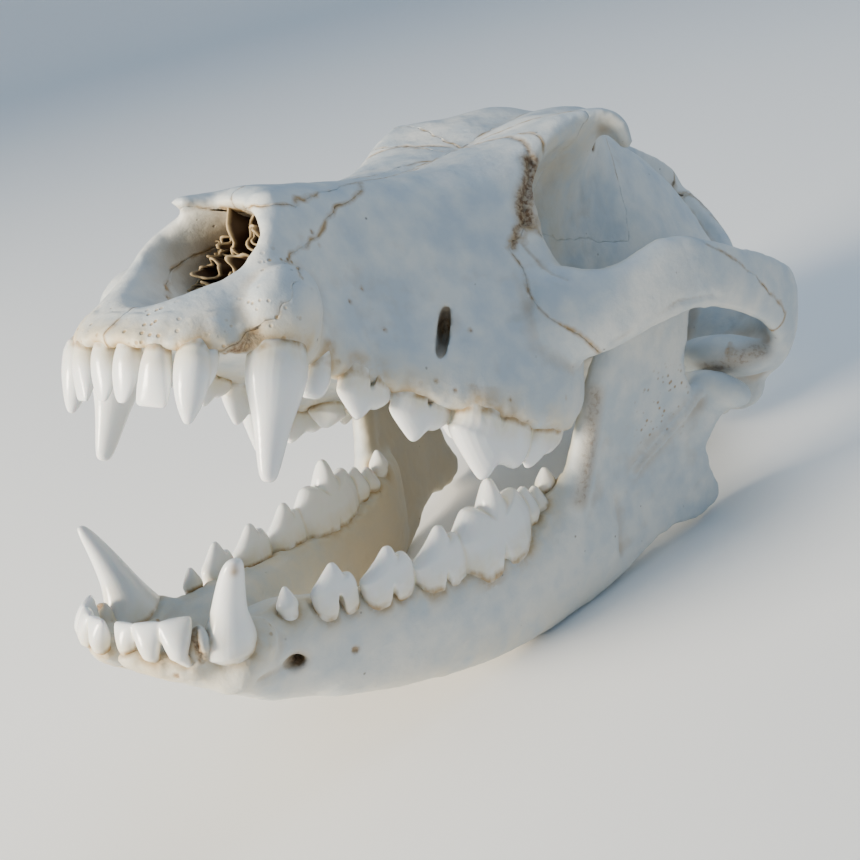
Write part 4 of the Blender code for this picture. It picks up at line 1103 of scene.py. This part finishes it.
def sheet_of(name, steps_across, steps_back, place):
    """An open sheet from a function of two shares, given a thickness and a front edge mark."""
    bm = bmesh.new()
    edge = bm.verts.layers.float.new("edge")
    grid = []
    for i in range(steps_across + 1):
        grid.append([])
        for j in range(steps_back + 1):
            corner = bm.verts.new(Vector(place(i / steps_across, j / steps_back)) * MM)
            # The edge mark, strongest along the front edge, places a painted highlight there.
            corner[edge] = math.exp(-14.0 * j / steps_back)
            grid[-1].append(corner)
    for i in range(steps_across):
        for j in range(steps_back):
            bm.faces.new((grid[i][j], grid[i + 1][j], grid[i + 1][j + 1], grid[i][j + 1]))
    sheet = made_of(name, bm)
    wall = sheet.modifiers.new("wall", "SOLIDIFY")
    wall.thickness = SCROLL_THICKNESS * MM
    wall.offset = 0
    return apply_modifiers(sheet)


def scroll(name, side, row, shift):
    x, z, radius, turns, front, start = row

    def place(u, v):
        angle = math.radians(start) + 2 * math.pi * turns * u
        reach = radius * (1 - 0.62 * u) * (1 + 1.4 * max(0.0, 0.12 - u) / 0.12)
        reach *= 1 + 0.10 * math.sin(5 * angle + 9 * v + shift)
        y = front + 1.7 * math.sin(6 * u + shift) + 0.9 * math.sin(15 * u + 2 * shift)
        y += 0.5 * math.sin(38 * u + 3 * shift)
        return (side * (x + reach * math.cos(angle)), y + (SCROLL_REAR - y) * v,
                z + reach * math.sin(angle) + 0.4 * math.sin(6 * v + shift))

    return sheet_of(name, SCROLL_STEPS, 16, place)


def nose_wall(u, v):
    front = 42.5 + 2.0 * math.sin(5 * u) + 0.8 * math.sin(19 * u)
    return (0.5 * math.sin(4 * u + 3 * v), front + (SCROLL_REAR - front) * v, 9.0 + 19.0 * u)


nose_scrolls = {}
for side, word in ((1, "left"), (-1, "right")):
    sheets = [scroll(f"scroll_{i}", side, row, i + 1.3 * side) for i, row in enumerate(SCROLLS)]
    if side > 0:
        sheets.append(sheet_of("nose_wall", 40, 16, nose_wall))
    nose_scrolls["nose_scrolls_" + word] = (joined("nose_scrolls_" + word, sheets),
                                            "maxilla_" + word)

# The finish of the bone: bleached and dry, cool white with cream along the gums, brown in the
# seams and holes, and pitted where it is porous. Painted shade darkens the hollows, the nose
# passage deeper in, the jaw's inner faces, the front face of the ramus and the underside of the
# joint shelf, and painted warm bounce light falls on the jaw's underside and inner faces. Each
# bone carries marks for these.
SPREAD_ROUNDS = 14
HOLLOW_DEPTH = 0.34
PITS = ((21, 42.8, 2.6), (17.7, 51.1, 17.2), (14.1, 40.1, 25.6), (14.6, 41.4, 23.3),
        (18.1, 47.6, 14.1), (26.4, 60.2, 0.7), (27.8, 63.1, 1.6), (29.8, 66.6, 0.3),
        (35, 77.7, -0.2), (38.8, 91.5, 1.7), (28.9, 70.8, 12.3), (21.2, 54.7, 10))
# Brown marks, a few of them painted shade: a line of points, reach in millimetres and strength,
# alike on both sides.
HEAD_MARKS = (
    (TEAR_CLEFT, 2.3, 1), (CLEFT_TAIL, 1, 0.7), (BROW_SEAM, 0.8, 0.6),
    (EYE_RIM_LINE, 0.5, 0.25), (CHEEK_LINE, 0.8, 0.22),
    (((24.4, 68.6, 12.6), (19, 76, 13.5)), 2.6, 0.75),
    (((19, 19.4, 1.2), (19.8, 20.8, 2.6), (20.6, 22.2, 4.2)), 1.5, 0.8),
    (((20.2, 123.4, 62), (17, 126, 62.5)), 1.1, 0.95),
    # Along the underside of the joint shelf: painted shade.
    (((42.3, 148.9, 14.4), (49.1, 147.4, 16.1), (54, 149.5, 19)), 3.2, 0.45),
    (((20.5, 100, 27), (17, 96, 26)), 3.4, 0.8),
    (((17, 125, 31), (12, 130, 31)), 3.2, 0.7),
    (((15.5, 132, 24.5), (11, 137, 24)), 3.6, 0.7),
    (((6, 18, 3), (6, 20, 6)), 3, 0.6),
    *(((place, place), 0.55, 0.7) for place in PITS),
)
JAW_MARKS = (
    (((15, 24.6, -7.7), (10, 31, -9)), 2.2, 0.60),
    (((18.2, 36.6, -10.4), (15, 42, -11)), 0.8, 0.9),
    (((10, 1.2, -0.7), (7, 4, -1.5)), 0.7, 0.8),
    (SOCKET_CLEFT, 1, 0.9), (CHEWING_RIDGE, 1.2, 0.3),
    (((3.5, -3, 0.2), (8, -1.2, -1.4), (11, 2, -2.6)), 2.4, 0.22),
    # On the front face of the ramus: painted shade.
    (((35, 103.6, 22), (34.3, 102.1, 14.5), (33.5, 100.3, 6), (32.6, 98.1, -0.2)), 2.6, 0.42),
    (((27.6, 74.5, -4), (27.6, 75, -4)), 0.8, 0.6),
    (((27, 86.5, -2), (27.2, 87.2, -2)), 0.9, 0.7),
)
POROUS_SPOTS = (((21, 24, 7), 6), ((19, 31, 17), 5), ((19.6, 20.6, 3), 5),
                ((8, 10, 4), 6), ((40, 124, 14), 9))


def hollowness(obj):
    """How far each point lies under the surface's local average: hollows up, ridges down."""
    places, normals = points_of(obj)
    ends = edge_ends(obj)
    count = len(places)
    near = np.bincount(ends.ravel(), minlength=count)[:, None]
    eased = places
    for _ in range(SPREAD_ROUNDS):
        total = np.stack([
            np.bincount(ends[:, 0], eased[ends[:, 1], k], count)
            + np.bincount(ends[:, 1], eased[ends[:, 0], k], count) for k in range(3)
        ], axis=1)
        eased = total / near
    return np.clip(((eased - places) * normals).sum(axis=1) / HOLLOW_DEPTH, -1, 1)


def mark(obj, name, values):
    layer = obj.data.attributes.new(name, "FLOAT", "POINT")
    layer.data.foreach_set("value", np.asarray(values, np.float32))


def gap_to(places, obj):
    """Distance in millimetres from each point to the nearest corner of another piece."""
    corners, _ = points_of(obj)
    low, high = places.min(axis=0) - 4, places.max(axis=0) + 4
    corners = corners[((corners > low) & (corners < high)).all(axis=1)]
    tree = KDTree(len(corners))
    for i, corner in enumerate(corners):
        tree.insert(corner, i)
    tree.balance()
    return np.array([tree.find(place)[2] for place in places])


ORBIT_CENTRE = (36, 106.5, 42)
ORBIT_REACH = 19.0


def mark_bone(bone, outlines, rows, marks, in_jaw, sets):
    places, normals = points_of(bone)
    folded = np.abs(places * (1, 0, 0)) + places * (0, 1, 1)
    # Brown marks from the lists, with their strips of painted shade.
    stain = np.zeros(len(places))
    for path, reach, strength in marks:
        stain = np.maximum(stain, strength * np.exp(-(nearest(folded, path) / reach) ** 2))
    # Cream along the gums, near each tooth's foot; the painted warm bounce light is added to this
    # mark further down.
    gum_and_bounce = np.zeros(len(places))
    for side in (1, -1):
        away, depth = socket_edge(places, rows, side)
        gum_and_bounce = np.maximum(gum_and_bounce, np.exp(-(np.maximum(away, 0) / 2.8) ** 2 - (depth / 5.0) ** 2))
    margin = np.zeros(len(places))
    close = np.flatnonzero(gum_and_bounce > 0.2)
    for piece in sets if len(close) else ():
        gap = gap_to(places[close], piece)
        margin[close] = np.maximum(margin[close], np.exp(-(gap / 0.75) ** 2))
    porous = np.zeros(len(places))
    for centre, reach in POROUS_SPOTS:
        gap = ((folded - np.array(centre)) ** 2).sum(axis=1)
        porous = np.maximum(porous, np.exp(-gap / reach ** 2))
    if in_jaw:
        # Creamier towards the chin, and painted warm bounce light on the underside and on the faces
        # turned inward.
        warm = np.clip((26 - places[:, 1]) / 30, 0, 1) * 0.95
        warm += np.clip((-16 - places[:, 2]) / 14, 0, 1) * 0.5
        inward = np.clip(-normals[:, 0] * np.sign(places[:, 0]), 0, 1)
        warm += inward * 0.5
        # Painted shade on the faces turned inward, growing towards the rear.
        inside = 0.42 * inward
        inside *= np.clip((places[:, 1] - 35) / 40, 0, 1)
    else:
        # Cream on the faces turned into the eye socket.
        seen = np.array(ORBIT_CENTRE) - folded
        far = np.linalg.norm(seen, axis=1)
        turned = (seen * normals * np.sign(places + (1e-9, 1e9, 1e9))).sum(axis=1) / far
        warm = np.exp(-(np.maximum(far - ORBIT_REACH, 0) / 5.0) ** 2) * np.clip(turned * 2.2, 0, 1)
        warm *= 0.62
        # Painted shade on the walls of the nose passage, growing deeper in.
        away = places * (1, 0, 1) - (0.0, 0.0, 19.5)
        facing = -(away * normals).sum(axis=1) / np.maximum(np.linalg.norm(away, axis=1), 0.1)
        inside = np.clip((places[:, 1] - 25) / 26, 0, 1) * np.clip(facing * 3, 0, 1)
        inside *= (np.linalg.norm(away, axis=1) < 14) & (places[:, 1] < 75)
    roof = 57 + 0.6 * np.clip(folded[:, 0] - 14, 0, 12)
    behind_eye = (np.clip((places[:, 1] - 97) / 3, 0, 1) * np.clip((roof - places[:, 2]) / 3, 0, 1)
                  * np.clip((30 - folded[:, 0]) / 3, 0, 1))
    mark(bone, "seam", seam_distance(places, outlines) + 0.8 * behind_eye)
    mark(bone, "stain", stain)
    # This mark: cream along the gums, in the eye sockets and towards the chin, and painted warm
    # bounce light on the jaw's underside and inner faces.
    mark(bone, "gum_and_bounce", np.maximum(gum_and_bounce, warm))
    mark(bone, "margin", margin)
    mark(bone, "porous", porous)
    # The inside mark: painted shade deeper in the nose passage and on the jaw's inner faces.
    mark(bone, "inside", inside)
    # Painted shade in the hollows of each bone.
    mark(bone, "hollow_shade", hollowness(bone))


def add_node(tree, kind, inputs, **settings):
    """A shader node whose inputs are set to values or linked to other nodes' outputs."""
    made = tree.nodes.new("ShaderNode" + kind)
    for key, value in settings.items():
        setattr(made, key, value)
    for key, value in inputs.items():
        if isinstance(value, bpy.types.NodeSocket):
            tree.links.new(value, made.inputs[key])
        else:
            made.inputs[key].default_value = value
    return made


def ramp(tree, value, low, high, top=1.0, bottom=0.0):
    """A value spread from the bottom at its low end to the top at its high end."""
    return add_node(tree, "MapRange", {"Value": value, "From Min": low, "From Max": high,
                                       "To Min": bottom, "To Max": top}).outputs["Result"]


def times(tree, first, second):
    return add_node(tree, "Math", {0: first, 1: second}, operation="MULTIPLY").outputs[0]


def plus(tree, first, second):
    return add_node(tree, "Math", {0: first, 1: second}, operation="ADD").outputs[0]


def tint(tree, share, under, over):
    """One colour laid over another by a share."""
    return add_node(tree, "Mix", {0: share, 6: under, 7: over}, data_type="RGBA").outputs[2]


def speckle(tree, place, scale, detail=3.0, kind="Fac"):
    return add_node(tree, "TexNoise", {"Vector": place, "Scale": scale, "Detail": detail,
                                       "Roughness": 0.6}).outputs[kind]


def marked(tree, name):
    return add_node(tree, "Attribute", {}, attribute_name=name).outputs["Fac"]


def set_bump(tree, shader, height, strength, distance):
    """Fine relief that is too small for the mesh."""
    bump = add_node(tree, "Bump", {"Height": height, "Strength": strength, "Distance": distance})
    tree.links.new(bump.outputs["Normal"], shader.inputs["Normal"])


def new_material(name):
    material = bpy.data.materials.new(name)
    material.use_nodes = True
    tree = material.node_tree
    place = add_node(tree, "TexCoord", {}).outputs["Object"]
    return material, tree, tree.nodes["Principled BSDF"], place


WHITE_BONE = (0.65, 0.65, 0.61, 1)
COOL_BONE = (0.455, 0.51, 0.54, 1)
CREAM_BONE = (0.58, 0.50, 0.34, 1)
TAN_BONE = (0.36, 0.24, 0.11, 1)
BROWN_BONE = (0.15, 0.078, 0.030, 1)
SPECK_BONE = (0.13, 0.10, 0.07, 1)
dry_bone, tree, shader, place = new_material("dry_bone")
swell = speckle(tree, place, 42)
mottle = speckle(tree, place, 170, 6)
fleck = speckle(tree, place, 900, 5)
cloudy = plus(tree, times(tree, swell, 0.6), times(tree, mottle, 0.4))
colour = tint(tree, ramp(tree, cloudy, 0.40, 0.60), COOL_BONE, WHITE_BONE)
# Cream along the gums, in the eye sockets and towards the chin, and painted warm bounce light on
# the jaw's underside and inner faces.
colour = tint(tree, times(tree, marked(tree, "gum_and_bounce"), ramp(tree, mottle, 0.25, 0.6, 0.9)),
              colour, CREAM_BONE)
# Tan in the hollows: painted shade.
colour = tint(tree, ramp(tree, marked(tree, "hollow_shade"), 0.08, 0.9, 0.5), colour, TAN_BONE)
# Cream, tan and brown by the inside mark: painted shade deeper in the nose passage and on the jaw's
# inner faces.
inside = marked(tree, "inside")
colour = tint(tree, ramp(tree, inside, 0.02, 0.45, 0.6), colour, CREAM_BONE)
colour = tint(tree, ramp(tree, inside, 0.25, 0.7, 0.8), colour, TAN_BONE)
colour = tint(tree, ramp(tree, plus(tree, inside, times(tree, mottle, 0.3)), 0.60, 0.95, 0.95),
              colour, BROWN_BONE)
stain = marked(tree, "stain")
rough_stain = times(tree, stain, ramp(tree, fleck, 0.32, 0.62))
# Tan and brown by the stain mark; where the strips under the joint shelf and on the ramus's front
# face lie, it is painted shade.
colour = tint(tree, ramp(tree, stain, 0.08, 0.6, 0.75), colour, TAN_BONE)
colour = tint(tree, ramp(tree, rough_stain, 0.2, 0.7), colour, BROWN_BONE)
line = ramp(tree, marked(tree, "seam"), 0.14, 0.7, 0, 0.95)
colour = tint(tree, times(tree, line, ramp(tree, mottle, 0.40, 0.60)), colour, TAN_BONE)
colour = tint(tree, times(tree, marked(tree, "margin"), ramp(tree, mottle, 0.35, 0.6, 0.85)),
              colour, TAN_BONE)


def dots(scale, size, share):
    """Round dots in some of the cells of a random pattern, as a mask."""
    cells = add_node(tree, "TexVoronoi", {"Vector": place, "Scale": scale})
    dot = ramp(tree, cells.outputs["Distance"], size * 0.5, size, 0.0, 1.0)
    chance = add_node(tree, "SeparateColor", {"Color": cells.outputs["Color"]}).outputs[0]
    chosen = add_node(tree, "Math", {0: chance, 1: share}, operation="LESS_THAN").outputs[0]
    return times(tree, dot, chosen)


specks = times(tree, dots(230.0, 0.085, 0.46), ramp(tree, swell, 0.35, 0.6))
colour = tint(tree, times(tree, specks, 0.8), colour, SPECK_BONE)
porous = ramp(tree, plus(tree, marked(tree, "porous"), times(tree, mottle, 0.5)), 0.45, 0.85)
pore = times(tree, dots(620.0, 0.30, 0.75), porous)
colour = tint(tree, times(tree, pore, 0.85), colour, TAN_BONE)
tree.links.new(colour, shader.inputs["Base Color"])
tree.links.new(ramp(tree, mottle, 0.0, 1.0, 0.68, 0.40), shader.inputs["Roughness"])
grooves = add_node(tree, "Mapping", {"Vector": place, "Scale": (1.0, 0.22, 1.0)})
grooves = speckle(tree, grooves.outputs["Vector"], 520, 3)
surface = plus(tree, times(tree, fleck, 0.30), times(tree, mottle, 1.4))
surface = plus(tree, surface, times(tree, grooves, 0.5))
surface = plus(tree, surface, times(tree, plus(tree, pore, specks), -1.0))
surface = plus(tree, surface, times(tree, rough_stain, -1.2))
set_bump(tree, shader, surface, 0.45, 0.0005)

# The finish of the teeth: smooth glossy enamel, white with a faint warmth towards the gum, and a
# brown line where it ends, with painted shade in the hollows. The tip of the left lower canine is
# worn through to darker dentine.
WHITE_ENAMEL = (0.75, 0.77, 0.77, 1)
WARM_ENAMEL = (0.68, 0.61, 0.44, 1)
ROOT_BROWN = (0.32, 0.20, 0.08, 1)
WORN_TIP = ((20.2, 9.4, 17.2), (19.8, 9.6, 16.4))
enamel, tree, shader, place = new_material("enamel")
cloud = speckle(tree, place, 150)
streak_place = add_node(tree, "Mapping", {"Vector": place, "Scale": (1, 1, 0.18)})
streaks = speckle(tree, streak_place.outputs["Vector"], 1100, 2)
crown = marked(tree, "crown")
warmth = ramp(tree, crown, 0.4, 4.5, 0, 0.9)
colour = tint(tree, times(tree, warmth, ramp(tree, cloud, 0.3, 0.6)), WHITE_ENAMEL, WARM_ENAMEL)
gum_line = ramp(tree, crown, 0.35, 1, 0, 0.9)
colour = tint(tree, times(tree, gum_line, ramp(tree, cloud, 0.38, 0.6)), colour, ROOT_BROWN)
# Warmer in the hollows of the teeth: painted shade.
colour = tint(tree, marked(tree, "hollow_shade"), colour, WARM_ENAMEL)
colour = tint(tree, marked(tree, "stain"), colour, ROOT_BROWN)
tree.links.new(colour, shader.inputs["Base Color"])
shader.inputs["Roughness"].default_value = 0.24
shader.inputs["Subsurface Weight"].default_value = 0.12
shader.inputs["Subsurface Scale"].default_value = 0.0015
set_bump(tree, shader, streaks, 0.08, 0.0003)


def mark_teeth(piece, bone, side, rise):
    places, _ = points_of(piece)
    mark(piece, "crown", gap_to(places, bone))
    # Painted shade in the hollows of the teeth.
    mark(piece, "hollow_shade", np.clip(hollowness(piece) * 1.5, 0, 0.7))
    stain = np.zeros(len(places))
    if side > 0 and rise > 0:
        stain = 0.85 * np.exp(-(nearest(places, WORN_TIP) / 0.9) ** 2)
    mark(piece, "stain", stain)


# The finish of the scrolls: dark brown, stained bone with a painted highlight along its front
# edges.
SCROLL_BROWN = (0.034, 0.015, 0.005, 1)
SCROLL_HIGHLIGHT = (0.50, 0.37, 0.20, 1)
stained_bone, tree, shader, place = new_material("stained_bone")
cloud = speckle(tree, place, 260, 4)
# Paler towards the front edges: a painted highlight.
share = plus(tree, marked(tree, "edge"), times(tree, cloud, 0.5))
tree.links.new(tint(tree, ramp(tree, share, 0.62, 1.4), SCROLL_BROWN, SCROLL_HIGHLIGHT),
               shader.inputs["Base Color"])
shader.inputs["Roughness"].default_value = 0.6
set_bump(tree, shader, cloud, 0.4, 0.0004)


def finished(piece, node, material):
    """Moves a piece to its place in the resting skull, gives it its finish, hangs it under the root
    body and hides the CAD part it stands in for.
    """
    place = JAW_PLACE if node.startswith("mandible") else CRANIUM_PLACE
    piece.data.transform(place)
    working.objects.unlink(piece)
    bpy.context.scene.collection.objects.link(piece)
    piece.data.materials.clear()
    piece.data.materials.append(material)
    piece.data.polygons.foreach_set("use_smooth", [True] * len(piece.data.polygons))
    piece.data.update()
    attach(piece, "root")
    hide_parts(node)


for name, bone in bones.items():
    in_jaw = name.startswith("mandible")
    sets = [piece for piece, node, *_ in tooth_sets.values() if node == name]
    mark_bone(bone, seams[name], LOWER_TEETH if in_jaw else UPPER_TEETH,
              JAW_MARKS if in_jaw else HEAD_MARKS, in_jaw, sets)
for piece, node, _, side, rise in tooth_sets.values():
    mark_teeth(piece, bones[node], side, rise)
for name, bone in bones.items():
    bone.name = name + "_piece"
    finished(bone, name, dry_bone)
for piece, node, *_ in tooth_sets.values():
    finished(piece, node, enamel)
for piece, node in nose_scrolls.values():
    finished(piece, node, stained_bone)
